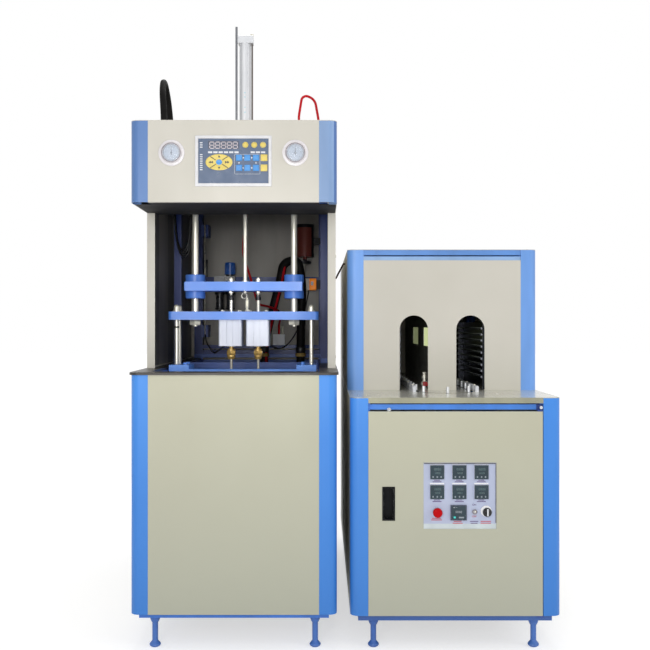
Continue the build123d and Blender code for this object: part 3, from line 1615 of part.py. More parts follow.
# Worktop with the closed oval slot for the spindles, and the island inside the slot
with BuildPart() as worktop_sheet:
    with BuildSketch(Plane.XY.offset(worktop_z - sheet)):
        with Locations((heat_x, y_front + heat_depth / 2)):
            RectangleRounded(heat_width, heat_depth, post_radius)
        with Locations((heat_x, y_front + sum(turn_depths) / 2)):
            outer_slot = loop_radius + slot_half
            SlotOverall(loop_length + 2 * outer_slot, 2 * outer_slot, rotation=90, mode=Mode.SUBTRACT)
    extrude(amount=sheet)
    fascia_x = (heat_left + post_width + seam, heat_right - post_width - seam)
    block(fascia_x, depth_span(0, sheet), (worktop_z - fascia_height, worktop_z))
with BuildPart() as island:
    with BuildSketch(Plane.XY.offset(worktop_z - sheet)):
        with Locations((heat_x, y_front + sum(turn_depths) / 2)):
            inner_slot = loop_radius - slot_half
            SlotOverall(loop_length + 2 * inner_slot, 2 * inner_slot, rotation=90)
    extrude(amount=sheet)
    for middle in turn_depths:
        upright(heat_x, y_front + middle, (wheel_top, worktop_z - sheet), shaft_radius)
heater_worktop = Compound([worktop_sheet.part.solid(), island.part.solid()])
save(heater_worktop, "heater_worktop")

# Housing front panel with its two arched openings
house_x = (heat_left + housing_post + seam, heat_right - housing_post - seam)
house_y = depth_span(housing_setback, housing_setback + fold)
with BuildPart() as housing_front_panel:
    pan(house_x, house_y, (worktop_z, sub_rail_z), "-y")
    with BuildSketch(Plane.XZ.offset(-house_y[0])) as arches:
        for side in (-1, 1):
            x = heat_x + side * tunnel_half
            with Locations((x, arch_top - arch_radius)):
                Circle(arch_radius)
            with Locations((x, (worktop_z + arch_top - arch_radius) / 2)):
                Rectangle(2 * arch_radius, arch_top - arch_radius - worktop_z)
    extrude(arches.sketch, amount=fold + cut_past, both=True, mode=Mode.SUBTRACT)
save(housing_front_panel.part, "housing_front_panel")

# Lamp banks: a reflector sheet and three lamp holders on each outer wall
with BuildPart() as lamp_banks:
    for side in (-1, 1):
        back = sorted((heat_x + side * reflector_x, heat_x + side * (reflector_x + sheet)))
        start = lamp_spans[0][0] - holder_width
        finish = lamp_spans[-1][1] + holder_width
        block(back, depth_span(start, finish), (worktop_z, bank_high))
        face = sorted((heat_x + side * (lamp_x - holder_reach), heat_x + side * reflector_x))
        edges = (start, lamp_spans[0][1], lamp_spans[-1][1])
        for edge in edges:
            block(face, depth_span(edge, edge + holder_width), (bank_low, bank_high))
save(lamp_banks.part, "lamp_banks")

# Infrared lamp tubes, nine rows in two zones on each side
with BuildPart() as lamp_tubes:
    for side in (-1, 1):
        for row in range(lamp_rows):
            for span in lamp_spans:
                z = lamp_z + row * lamp_pitch
                lengthwise(heat_x + side * lamp_x, z, depth_span(*span), lamp_radius)
save(lamp_tubes.part, "lamp_tubes")

# Hollow partition between the two tunnels, with two windows in each wall
with BuildPart() as tunnel_partition:
    walls = depth_span(partition_start, partition_end)
    block((heat_x - partition_half, heat_x + partition_half), walls, (worktop_z, partition_top))
    hollow_x = (heat_x - partition_half + sheet, heat_x + partition_half - sheet)
    hollow_y = (walls[0] + sheet, walls[1] - sheet)
    block(hollow_x, hollow_y, (worktop_z, partition_top - sheet), Mode.SUBTRACT)
    wide = (heat_x - partition_half - cut_past, heat_x + partition_half + cut_past)
    for span in window_spans:
        block(wide, depth_span(*span), (window_low, window_high), Mode.SUBTRACT)
save(tunnel_partition.part, "tunnel_partition")

# Silver guide rails beside the spindles
with BuildPart() as guide_rails:
    for side in (-1, 1):
        span = sorted((heat_x + side * guide_inner, heat_x + side * (guide_inner + guide_width)))
        block(span, depth_span(guide_start, guide_end), (worktop_z, worktop_z + guide_height))
    chamfer(guide_rails.edges().filter_by(Axis.Y).group_by(Axis.Z)[-1], edge_break)
save(guide_rails.part, "guide_rails")

# Chromed cooling water valve on the island and its red lever
cooling = (heat_x + cooling_x, y_front + cooling_depth)
stem_z = worktop_z + cooling_ball_height
nose_front = cooling[1] - cooling_nose_reach
with BuildPart() as cooling_valve:
    upright(*cooling, (worktop_z, worktop_z + cooling_height), cooling_pipe)
    upright(*cooling, (worktop_z, worktop_z + cooling_flange_thick), cooling_flange)
    with Locations((*cooling, stem_z)):
        Sphere(cooling_ball)
    collar = (worktop_z + cooling_collar_low, worktop_z + cooling_collar_low + cooling_collar)
    upright(*cooling, collar, cooling_collar)
    lengthwise(cooling[0], stem_z, (nose_front, cooling[1]), cooling_nose)
    pin_hole = (nose_front - cut_past, cooling[1] - lever_pin_seat + cut_past)
    lengthwise(cooling[0], stem_z, pin_hole, lever_pin + running, Mode.SUBTRACT)
save(cooling_valve.part, "cooling_valve")
plate_y = (nose_front - plate_gap - lever_plate, nose_front - plate_gap)
with BuildPart() as valve_lever:
    pin_run = (plate_y[0] - edge_break, cooling[1] - lever_pin_seat)
    lengthwise(cooling[0], stem_z, pin_run, lever_pin)
    across = (cooling[0] - lever_hub, cooling[0] + lever_hub)
    block(across, plate_y, (stem_z - lever_hub, stem_z + lever_hub))
    across = (cooling[0] + lever_hub, cooling[0] + lever_grip_reach)
    grip_y = (plate_y[0] - edge_break, plate_y[1])
    block(across, grip_y, (stem_z - lever_grip_drop, stem_z + lever_grip_rise))
save(valve_lever.part, "valve_lever")

# Levelling feet: a flared pad, a threaded stem and the boss welded under the frame
with BuildPart() as levelling_feet:
    for centre_x, reach, depth, rail_z in (
        (blow_x, blow_width / 2 - blow_foot_inset, blow_depth, blow_rail_z),
        (heat_x, heat_width / 2 - heat_foot_inset, heat_depth, heat_rail_z),
    ):
        with BuildSketch(Plane.XZ) as section:
            with BuildLine():
                Polyline(
                    (0, 0),
                    (foot_flat, 0),
                    (foot_pad - foot_bevel, foot_heel),
                    (foot_pad, foot_pad_edge),
                    (foot_pad - fine_break, foot_pad_edge + foot_pad_round),
                    (foot_stem + fine_break, foot_pad_height),
                    (foot_stem, foot_pad_height + edge_break),
                    (foot_stem, rail_z - foot_boss_height),
                    (foot_boss_neck, rail_z - foot_boss_height),
                    (foot_boss, rail_z - foot_boss_height + foot_boss_taper),
                    (foot_boss, rail_z),
                    (0, rail_z),
                    close=True,
                )
            make_face()
        turned = revolve(section.sketch, axis=Axis.Z, mode=Mode.PRIVATE)
        for side in (-1, 1):
            for place in (foot_depth, depth - foot_depth):
                add(turned.moved(Location((centre_x + side * reach, y_front + place, 0))))
save(levelling_feet.part, "levelling_feet")


def hose(points, radius):
    """One hose along straight runs joined by tangent arcs, as a solid of its own."""
    bends = []
    for before, corner, after in zip(points, points[1:], points[2:]):
        one = Vector(*corner) - Vector(*before)
        two = Vector(*after) - Vector(*corner)
        turn = math.radians(one.get_angle(two))
        bends.append(0.45 * min(one.length, two.length) / math.tan(turn / 2))
    with BuildPart() as run:
        with BuildLine():
            route = FilletPolyline(*points, radius=bends)
        start = Plane(origin=route @ 0, z_dir=route % 0)
        with BuildSketch(start):
            Circle(radius)
        sweep()
    section = math.pi * radius**2 * route.length
    print("hose length", round(route.length), "bends", [round(b) for b in bends])
    print("volume share", round(run.part.volume / section, 4))
    return run.part.solid()


def routed(offsets):
    """Turns offsets from the blowing cabinet's front middle into points."""
    return [(blow_x + x, y_front + depth, z) for x, depth, z in offsets]


def toward_beam(share):
    """Depth at a share of the way from where the red tube starts to the rear beam."""
    return red_tube_start + share * (post_two_depth - red_tube_start)


# Hoses: the big air hose behind the head, the roof loops, the red tube inside and the
# short tube between the two cabinets
hose_depth = clamp_rear_depth + clamp_plate / 2
big_hose = routed(
    (
        (34.0, hose_depth, clamp_top),
        (34.0, hose_depth, 1000.0),
        (68.0, hose_depth + 2, 1150.0),
        (102.0, hose_depth + 4, 1280.0),
        (122.0, hose_depth + 6, 1385.0),
        (188.0, hose_depth + 8, 1400.0),
        (208.0, hose_depth + 8, 1290.0),
        (204.0, hose_depth + 4, 1150.0),
        (200.0, hose_depth, 1020.0),
        (200.0, hose_depth, clamp_top),
    )
)
roof_loop = [
    (roof_hose_x, y_front + roof_hose_depths[0], head_top_z),
    (roof_hose_x, y_front + roof_hose_depths[0], 1890.0),
    (roof_hose_x - 8, y_front + roof_hose_depths[0] + 12, 1985.0),
    (roof_hose_x - 14, axis_y, 2050.0),
    (roof_hose_x - 8, y_front + roof_hose_depths[1] - 12, 1985.0),
    (roof_hose_x, y_front + roof_hose_depths[1], 1890.0),
    (roof_hose_x, y_front + roof_hose_depths[1], head_top_z),
]
red_loop = [
    (red_loop_x[0], axis_y, head_top_z),
    (red_loop_x[0], axis_y, 1838.0),
    (red_loop_x[0] - 14, axis_y, 1890.0),
    (red_loop_x[0] + 2, axis_y, 1989.0),
    (red_loop_x[0] + 50, axis_y, 1970.0),
    (red_loop_x[1] - 2, axis_y, 1880.0),
    (red_loop_x[1], axis_y, 1830.0),
    (red_loop_x[1], axis_y, head_top_z),
]
exhaust_top = rear_bars[1][0] + rear_bars[1][1] + exhaust_size[1]
red_inner = routed(
    (
        (-12.0, red_tube_start, head_z + 70.0),
        (-30.0, toward_beam(0.03), 1450.0),
        (-34.0, toward_beam(0.09), 1390.0),
        (-16.0, toward_beam(0.155), 1330.0),
        (4.0, toward_beam(0.2), 1260.0),
        (18.0, toward_beam(0.25), 1190.0),
        (70.0, toward_beam(0.4), 1180.0),
        (110.0, toward_beam(0.56), 1160.0),
        (96.0, toward_beam(0.9), 1120.0),
        (exhaust_x, post_two_depth, 1100.0),
        (exhaust_x, post_two_depth, exhaust_top),
    )
)
link_tube = [
    (blow_right, y_front + link_depth, link_low),
    (blow_right + link_stub, y_front + link_depth, link_low),
    (heat_left - link_stub, y_front + link_depth, link_high),
    (heat_left, y_front + link_depth, link_high),
]
air_hoses = Compound(
    [
        hose(big_hose, hose_radius),
        hose(roof_loop, roof_hose_radius),
        hose(red_loop, red_tube_radius),
        hose(red_inner, red_tube_radius),
        hose(link_tube, link_radius),
    ]
)
save(air_hoses, "air_hoses")
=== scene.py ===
import math

import bpy
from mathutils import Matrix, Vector


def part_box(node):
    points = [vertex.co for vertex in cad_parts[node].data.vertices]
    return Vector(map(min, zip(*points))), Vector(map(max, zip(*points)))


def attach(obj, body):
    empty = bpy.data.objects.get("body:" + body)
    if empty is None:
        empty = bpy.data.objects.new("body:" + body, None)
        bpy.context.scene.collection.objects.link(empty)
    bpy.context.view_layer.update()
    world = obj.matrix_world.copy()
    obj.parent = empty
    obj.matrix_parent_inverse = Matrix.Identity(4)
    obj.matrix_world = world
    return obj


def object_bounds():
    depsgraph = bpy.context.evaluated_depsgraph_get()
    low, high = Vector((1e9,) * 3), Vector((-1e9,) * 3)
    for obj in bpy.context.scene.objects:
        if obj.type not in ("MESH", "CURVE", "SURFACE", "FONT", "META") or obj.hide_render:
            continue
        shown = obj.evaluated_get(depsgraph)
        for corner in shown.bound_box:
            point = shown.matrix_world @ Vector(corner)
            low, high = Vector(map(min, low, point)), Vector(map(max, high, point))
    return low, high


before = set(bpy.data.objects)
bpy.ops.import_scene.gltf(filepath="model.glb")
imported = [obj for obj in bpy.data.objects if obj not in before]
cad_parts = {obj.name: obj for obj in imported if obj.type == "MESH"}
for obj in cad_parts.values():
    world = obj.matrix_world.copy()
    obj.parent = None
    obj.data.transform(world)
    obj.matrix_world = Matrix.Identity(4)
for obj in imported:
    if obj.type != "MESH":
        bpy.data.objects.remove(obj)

cad_low, cad_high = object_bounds()
bpy.ops.object.select_all(action="DESELECT")


# Levelling feet: turned steel pads on threaded studs, painted with the frame and rubbed
# where the spanner goes. Their blue enamel is the first finish, so its makers are here.
def tone(card):
    """Turns a paint card colour, 0 to 255 a channel, into the light values of a shader."""
    shares = [level / 255 for level in card]
    return (*[s / 12.92 if s < 0.04045 else ((s + 0.055) / 1.055) ** 2.4 for s in shares], 1)


def node_of(tree, kind, sockets=None, **settings):
    """A new node, with each named socket linked to an output or set to a value."""
    node = tree.nodes.new("ShaderNode" + kind)
    for setting, value in settings.items():
        setattr(node, setting, value)
    for socket, source in (sockets or {}).items():
        if isinstance(source, bpy.types.NodeSocket):
            tree.links.new(source, node.inputs[socket])
        else:
            node.inputs[socket].default_value = source
    return node


def open_finish(name):
    """Starts a material and gives back what its maker wires together."""
    material = bpy.data.materials.new(name)
    material.use_nodes = True
    tree = material.node_tree
    place = node_of(tree, "TexCoord").outputs["Object"]
    return material, tree, tree.nodes["Principled BSDF"], place


def speckle(tree, place, scale, detail=3, stretch=None):
    """Noise over the piece, drawn out along one way where stretch says so."""
    if stretch:
        place = node_of(tree, "Mapping", {"Vector": place, "Scale": stretch}).outputs["Vector"]
    noise = node_of(tree, "TexNoise", {"Vector": place, "Scale": scale, "Detail": detail})
    return noise.outputs["Fac"]


def between(tree, source, start, end, low=0, high=1):
    """Rescales a value: start becomes low, end becomes high, and it stops there."""
    levels = {"Value": source, "From Min": start, "From Max": end, "To Min": low, "To Max": high}
    return node_of(tree, "MapRange", levels).outputs["Result"]


def two_tone(tree, share, first, second):
    """Mixes two colours, or two colour sockets, by a share."""
    return node_of(tree, "Mix", {0: share, 6: first, 7: second}, data_type="RGBA").outputs[2]


def arithmetic(tree, operation, first, second):
    """One sum of two values, each a socket or a number."""
    return node_of(tree, "Math", {0: first, 1: second}, operation=operation).outputs["Value"]


def agreement(tree, first, second):
    """How far two directions agree, from 1 for the same to -1 for opposite ones."""
    product = node_of(tree, "VectorMath", {0: first, 1: second}, operation="DOT_PRODUCT")
    return product.outputs["Value"]


def coat(tree, shader, colour, gloss, height, strength, distance):
    """Gives the shader its colour, its roughness and a fine relief."""
    tree.links.new(colour, shader.inputs["Base Color"])
    tree.links.new(gloss, shader.inputs["Roughness"])
    relief = node_of(tree, "Bump", {"Height": height, "Strength": strength, "Distance": distance})
    tree.links.new(relief.outputs["Normal"], shader.inputs["Normal"])


def edge_wear(tree, place, width, patchiness):
    """A mask of the edges, broken up by noise: where hands, rags and tools rub."""
    rounded = node_of(tree, "Bevel", {"Radius": width}, samples=4).outputs["Normal"]
    flat = node_of(tree, "NewGeometry").outputs["Normal"]
    corner = between(tree, agreement(tree, rounded, flat), 0.985, 0.90)
    patches = between(tree, speckle(tree, place, patchiness), 0.48, 0.60)
    return arithmetic(tree, "MULTIPLY", corner, patches)


far = 9


def zone(colour, x=None, y=None, z=None, facing=None):
    """A part of a piece with its own colour: its limits, and the side that it faces."""
    return colour, (x, y, z), facing


def by_place(tree, place, body, zones):
    """Paints the zones of a piece over its body colour, each mottled with upright streaks."""
    mottle = between(tree, speckle(tree, place, 1, stretch=(11, 11, 1.8)), 0.36, 0.64)
    for colour, limits, facing in zones:
        apart = node_of(tree, "SeparateXYZ", {"Vector": place}).outputs
        tests = []
        for axis, span in enumerate(limits):
            if span:
                tests.append(arithmetic(tree, "GREATER_THAN", apart[axis], span[0]))
                tests.append(arithmetic(tree, "LESS_THAN", apart[axis], span[1]))
        if facing:
            turned = agreement(tree, place.node.outputs["Normal"], facing)
            tests.append(arithmetic(tree, "GREATER_THAN", turned, 0.5))
        mask = tests[0]
        for test in tests[1:]:
            mask = arithmetic(tree, "MULTIPLY", mask, test)
        light = tone(colour)
        deeper = (*[0.82 * level for level in light[:3]], 1)
        body = two_tone(tree, mask, body, two_tone(tree, mottle, light, deeper))
    return body


def enamel(name, colour, shade, worn, roughness=0.38, wear=0.6, cloud=2.6, zones=(), dust_and_shade=None):
    """Sprayed enamel: cloudy by a shade, darker towards the floor with dirt and painted shade, rubbed
    at its edges.
    """
    material, tree, shader, place = open_finish(name)
    clouds = between(tree, speckle(tree, place, cloud), 0.35, 0.68)
    paint = two_tone(tree, clouds, tone(colour), tone(shade))
    # Darker towards the floor: dirt, and painted shade for the lesser light low down.
    if dust_and_shade:
        dust_shade_colour, plain_above = dust_and_shade
        height = node_of(tree, "SeparateXYZ", {"Vector": place}).outputs["Z"]
        paint = two_tone(tree, between(tree, height, plain_above, 0.15), paint, tone(dust_shade_colour))
    paint = by_place(tree, place, paint, zones)
    rubbed = arithmetic(tree, "MULTIPLY", edge_wear(tree, place, 0.0016, 34), wear)
    smears = speckle(tree, place, 9, stretch=(1, 1, 0.35))
    gloss = between(tree, smears, 0.3, 0.7, roughness - 0.06, roughness + 0.1)
    peel = speckle(tree, place, 420, detail=1)
    coat(tree, shader, two_tone(tree, rubbed, paint, tone(worn)), gloss, peel, 0.10, 0.0004)
    return material


def dress(finish, *nodes):
    """Gives CAD nodes their finish."""
    for node in nodes:
        for material_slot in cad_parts[node].material_slots:
            material_slot.material = finish


foot_blue = enamel("foot_blue_enamel", (76, 120, 196), (64, 106, 182), (130, 150, 184))
dress(foot_blue, "levelling_feet")

# Welded frames: square steel tube under each cabinet, sprayed the same blue. The inside of
# the cabinets sees little light and is the darkest part of the machine: the blower frame in the
# work space is darkened with painted shade. The rails of the heater frame are lightened with
# painted light.
# The rails are lightened with painted light.
rail_painted_light = zone((80, 150, 250), z=(0.75, 1.342))
housing_strip = zone((150, 186, 232), z=(1.342, 1.356))
housing_rail = zone((98, 150, 222), z=(1.356, far))
frame_blue = enamel(
    "frame_blue_enamel", (64, 104, 176), (54, 92, 162), (140, 160, 196),
    zones=(rail_painted_light, housing_strip, housing_rail),
)
sill_coat = zone((66, 126, 222), z=(0, 0.16))
# The frame inside the work space is darkened with painted shade.
work_space_painted_shade = zone((22, 50, 124), z=(0.96, far))
inner_blue = enamel(
    "inner_frame_enamel", (70, 104, 184), (58, 90, 166), (120, 138, 176), 0.42,
    zones=(sill_coat, work_space_painted_shade),
)
dress(frame_blue, "heater_frame")
dress(inner_blue, "blower_frame")

# Corner posts and rails: rolled sheet with a wide round corner, the strong blue of the
# machine, darker towards the floor with dirt and painted shade. The posts of the head box and
# of the heater housing are coloured a paler blue; the left head post and the right corner of
# the head are darker with painted shade.
head_span = (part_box("head_front_panel")[0].z - 0.001, far)
table_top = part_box("guide_rails")[0].z
head_coat = zone((138, 170, 215), x=(-far, 0), z=head_span)
# The left head post and the right corner of the head box are darker with painted shade.
left_head_painted_shade = zone((94, 134, 194), x=(-far, -0.4), z=head_span)
head_corner_painted_shade = zone((78, 118, 182), x=(-0.2, 0), z=head_span, facing=(0.78, 0, 0))
housing_coat = zone((119, 172, 246), x=(0, far), z=(table_top - 0.001, far))
cabinet_blue = enamel(
    "cabinet_blue_enamel", (72, 148, 236), (64, 139, 228), (150, 182, 224),
    zones=(head_coat, left_head_painted_shade, head_corner_painted_shade, housing_coat), dust_and_shade=((54, 125, 208), 0.9),
)
dress(cabinet_blue, "corner_posts")

# Sheet covers: folded steel of 2 mm, cream enamel, darker towards the floor with dirt and
# painted shade. Inside the open work space the sides and the door are bare steel, darkened
# further with painted shade.
side_low, side_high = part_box("upper_side_panels")
bare_and_shaded_sheet = (104, 102, 98)
painted_reflection_band = (146, 142, 133)
left_wall = (-far, side_low.x + 0.03)
right_wall = (side_high.x - 0.03, far)
to_front = (0, -1, 0)
to_left = (-1, 0, 0)
to_right = (1, 0, 0)
# Inner faces of the work space: bare steel, darkened with painted shade.
linings = (
    zone(bare_and_shaded_sheet, x=left_wall, facing=to_right),
    zone(bare_and_shaded_sheet, x=right_wall, facing=to_left),
    # Two lighter upright bands on the left wall inside are painted reflections.
    zone(painted_reflection_band, x=left_wall, y=(-0.26, -0.06), facing=to_right),
    zone(painted_reflection_band, x=left_wall, y=(0.16, 0.30), facing=to_right),
)
back_lining = zone((138, 133, 124), facing=to_front)
cream_tones = ((211, 207, 196), (205, 201, 189), (150, 146, 134), 0.42, 0.4)
yellowed_tones = ((200, 198, 174), (195, 192, 168), (150, 146, 134), 0.42, 0.4)
cream = enamel("cream_enamel", *cream_tones, dust_and_shade=((178, 179, 164), 1.05))
lined_cream = enamel("lined_cream_enamel", *cream_tones, zones=linings)
door_cream = enamel("rear_door_enamel", *cream_tones, zones=(back_lining,))
yellowed = enamel("yellowed_cream_enamel", *yellowed_tones, dust_and_shade=((177, 178, 161), 1.05))
dress(cream, "side_covers", "rear_covers", "head_front_panel", "top_panels", "housing_front_panel")
dress(yellowed, "front_cover", "heater_door")
dress(lined_cream, "upper_side_panels")
dress(door_cream, "rear_door")

# Rim of the lower blowing cabinet: a flat steel frame in dark grey-brown enamel.
rim_coat = enamel("rim_coat", (54, 49, 44), (44, 40, 36), (132, 126, 116), 0.34, 0.8, 8)
dress(rim_coat, "worktop_rim")


# Table of the heating cabinet: brushed stainless sheet, the grain from front to back, with
# fine scratches from trays and bottles.
def brushed(name, colour, shade, grain, roughness=0.34, relief=0.05, zones=(), metallic=1):
    """Rolled or ground metal: drawn-out grain in colour, gloss and relief."""
    material, tree, shader, place = open_finish(name)
    shader.inputs["Metallic"].default_value = metallic
    streaks = speckle(tree, place, 1, stretch=grain)
    fine = arithmetic(tree, "MULTIPLY", streaks, 0.5)
    patches = arithmetic(tree, "MULTIPLY", speckle(tree, place, 7), 0.5)
    mixed = arithmetic(tree, "ADD", fine, patches)
    body = two_tone(tree, between(tree, mixed, 0.38, 0.62), tone(colour), tone(shade))
    body = by_place(tree, place, body, zones)
    worn = two_tone(tree, edge_wear(tree, place, 0.0006, 60), body, tone((226, 226, 224)))
    gloss = between(tree, mixed, 0.3, 0.7, roughness - 0.05, roughness + 0.07)
    coat(tree, shader, worn, gloss, streaks, relief, 0.0001)
    return material


# The front face of the table is tinted beige with a painted reflection.
table_steel = brushed(
    "table_steel", (224, 223, 214), (206, 205, 196), (300, 5, 300), 0.22,
    zones=[zone((168, 167, 145), facing=to_front)], metallic=0.5,
)
dress(table_steel, "heater_worktop")

# Clamp in the lower cabinet: painted plates, chromed tie bars and rod, a cast cylinder,
# and two milled aluminium mould halves.
# The saddles are lightened with painted light.
saddle_painted_light = zone((100, 158, 248), z=(0.885, far))
clamp_blue = enamel(
    "clamp_plate_enamel", (92, 140, 226), (80, 126, 214), (140, 156, 190), zones=(saddle_painted_light,)
)
chrome_grain = (4, 4, 14)
chrome = brushed("hard_chrome", (236, 233, 220), (222, 218, 204), chrome_grain, 0.2, 0, metallic=0.45)
milled = brushed("milled_aluminium", (206, 208, 212), (186, 188, 194), (200, 20, 20), 0.32)
dress(clamp_blue, "mould_platens", "moving_platen", "stay_saddles", "clamp_cylinder")
dress(chrome, "tie_bars", "clamp_rod")
dress(milled, "front_mould", "rear_mould")

# Stretch head: flame-cut and ground plates sprayed light blue, the bushes a deeper blue,
# and chromed rods with zinc nuts.
plate_blue = enamel("plate_blue_enamel", (94, 148, 240), (88, 142, 236), (196, 214, 244))
bush_blue = enamel("bush_blue_enamel", (84, 136, 224), (72, 122, 212), (150, 176, 220))
turned_grain = (8, 8, 20)
zinc = brushed("zinc_plate", (232, 228, 210), (212, 208, 190), turned_grain, 0.26, 0.01, metallic=0.4)
rod_grain = (8, 8, 30)
stretch_steel = brushed(
    "stretch_steel", (188, 184, 172), (168, 164, 152), rod_grain, 0.3, 0.01, metallic=0.4
)
dress(plate_blue, "lower_platen", "top_platen", "crosshead")
dress(bush_blue, "guide_bushes")
dress(chrome, "platen_rods", "piston_rod")
dress(stretch_steel, "stretch_rods")
dress(zinc, "platen_nuts")

# Sealing cylinders: white anodised bodies. Each hollow rod is pale steel with a black
# fitting on top and a turned brass nozzle below.
seal_low, seal_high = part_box("seal_cylinders")
platen_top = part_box("lower_platen")[1].z
body_grain = (60, 60, 4)
anodised = brushed(
    "white_anodised", (226, 230, 240), (216, 220, 232), body_grain, 0.42, 0.01, metallic=0.1
)
fitting_zone = zone((34, 34, 36), z=(platen_top + 0.044, far))
brass_zone = zone((196, 158, 84), z=(0, seal_low.z - 0.003))
seal_finish = brushed(
    "seal_rod_steel", (232, 230, 218), (216, 213, 200), turned_grain, 0.26, 0.01,
    zones=(fitting_zone, brass_zone), metallic=0.35,
)
dress(anodised, "seal_cylinders")
dress(seal_finish, "left_seal_rod", "right_seal_rod")

# Stretch cylinder on the roof: a long bright barrel with a printed depth line, its cap,
# the air pipe and the dark strip that carries its sensor.
barrel_low, barrel_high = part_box("stretch_cylinder")
pipe_zone = zone((96, 88, 84), x=(barrel_high.x - 0.0075, far), z=(1.8, 2.1809))
strip_zone = zone((120, 122, 128), x=(-far, barrel_low.x + 0.0086), z=(1.5, far))
barrel_finish = brushed(
    "cylinder_aluminium", (224, 225, 228), (212, 214, 218), (60, 60, 1), 0.36, 0.01,
    zones=(pipe_zone, strip_zone), metallic=0.3,
)
dress(barrel_finish, "stretch_cylinder")


# Gauges and keypad of the head box: white moulded rings, a pale surround, slate film. The
# soffit closes the head box over the work space; it is near-black with painted shade.
def moulded(name, colour, shade, roughness=0.4, grain=900, relief=0.06, zones=()):
    """Moulded plastic: even colour with a fine spark grain and finger-polished patches."""
    material, tree, shader, place = open_finish(name)
    clouds = between(tree, speckle(tree, place, 24), 0.35, 0.65)
    body = by_place(tree, place, two_tone(tree, clouds, tone(colour), tone(shade)), zones)
    pale = two_tone(tree, edge_wear(tree, place, 0.0006, 120), body, tone((170, 170, 168)))
    touched = speckle(tree, place, 40)
    gloss = between(tree, touched, 0.3, 0.7, roughness - 0.08, roughness + 0.08)
    coat(tree, shader, pale, gloss, speckle(tree, place, grain, detail=1), relief, 0.0002)
    return material


def tune(finish, socket, value):
    """Sets one value of a finish that is the same all over the piece."""
    finish.node_tree.nodes["Principled BSDF"].inputs[socket].default_value = value


front_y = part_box("front_cover")[0].y
# The soffit is near-black with painted shade.
soffit_painted_shade = enamel("soffit_shade_enamel", (20, 19, 20), (14, 13, 14), (44, 44, 48), 0.7)
white_ring = moulded("white_ring", (234, 230, 232), (222, 218, 220), 0.3)
frame_plastic = moulded("keypad_frame_plastic", (226, 226, 228), (216, 216, 220), 0.34)
film = moulded("keypad_film", (76, 96, 126), (70, 90, 120), 0.34, 600)
black_plastic = moulded("black_plastic", (26, 26, 28), (19, 19, 21), 0.42)
needle_grey = moulded("needle_grey", (120, 130, 146), (110, 120, 136))
dress(soffit_painted_shade, "head_soffit")
dress(white_ring, "gauge_cases")
dress(frame_plastic, "keypad_frame")
dress(film, "keypad_panel")
dress(needle_grey, "left_gauge_needle", "right_gauge_needle")

# Gauge dials: a pale card behind a clear cover, with printed graduations from 0 to 10 and
# their figures. Both gauges are alike. The tools that shape every new piece start here.
mm = 0.001
turns = {
    "front": Vector((0, -1, 0)),
    "back": Vector((0, 1, 0)),
    "left": Vector((-1, 0, 0)),
    "right": Vector((1, 0, 0)),
    "up": Vector((0, 0, 1)),
}


def started(name):
    """Names the primitive that was just added, with its turn and place in its mesh."""
    bpy.ops.object.transform_apply()
    piece = bpy.context.active_object
    piece.name = name
    return piece


def take(*pieces):
    """Selects these pieces alone, the first of them active."""
    bpy.ops.object.select_all(action="DESELECT")
    for piece in pieces:
        piece.select_set(True)
    bpy.context.view_layer.objects.active = pieces[0]


def face_pick(piece, test):
    """Goes into edit mode on a piece, with the faces selected whose normal passes a test."""
    bpy.context.view_layer.objects.active = piece
    bpy.ops.object.mode_set(mode="EDIT")
    bpy.ops.mesh.select_mode(type="FACE")
    bpy.ops.mesh.select_all(action="DESELECT")
    bpy.ops.object.mode_set(mode="OBJECT")
    for face in piece.data.polygons:
        face.select = test(face.normal)
    bpy.ops.object.mode_set(mode="EDIT")


def slab(name, centre, size, round_off, steps=2):
    """A block with all its edges rounded, at its place. Its size is in millimetres."""
    bpy.ops.object.select_all(action="DESELECT")
    bpy.ops.mesh.primitive_cube_add(size=1, location=centre)
    bpy.context.active_object.scale = [side * mm for side in size]
    piece = started(name)
    bpy.ops.object.mode_set(mode="EDIT")
    bpy.ops.mesh.select_all(action="SELECT")
    bpy.ops.mesh.bevel(offset=round_off * mm, segments=steps, affect="EDGES")
    bpy.ops.object.mode_set(mode="OBJECT")
    return piece


def disc(name, centre, radius, length, round_off, facing="front", corners=32, flatten=1):
    """A short bar with rounded ends that faces out of the machine, in millimetres."""
    bpy.ops.object.select_all(action="DESELECT")
    out = turns[facing]
    bpy.ops.mesh.primitive_cylinder_add(
        vertices=corners, radius=radius * mm, depth=length * mm, location=(0, 0, 0),
        rotation=out.to_track_quat("Z", "Y").to_euler(),
    )
    piece = started(name)
    piece.scale = (1, 1, flatten)
    piece.location = centre
    bpy.ops.object.transform_apply()
    face_pick(piece, lambda normal: abs(normal.dot(out)) > 0.9)
    bpy.ops.mesh.bevel(offset=round_off * mm, segments=2, affect="EDGES")
    bpy.ops.object.mode_set(mode="OBJECT")
    return piece


def hoop(name, centre, radius, wire, corners, sides, pressed=0):
    """A ring that faces the front, with its front face pressed flat, in millimetres."""
    bpy.ops.object.select_all(action="DESELECT")
    bpy.ops.mesh.primitive_torus_add(
        location=centre, rotation=(math.pi / 2, 0, 0), major_radius=radius * mm,
        minor_radius=wire * mm, major_segments=corners, minor_segments=sides,
    )
    piece = started(name)
    if pressed:
        face_pick(piece, lambda normal: normal.y < -0.9)
        bpy.ops.transform.translate(value=(0, pressed * mm, 0))
        bpy.ops.object.mode_set(mode="OBJECT")
    return piece


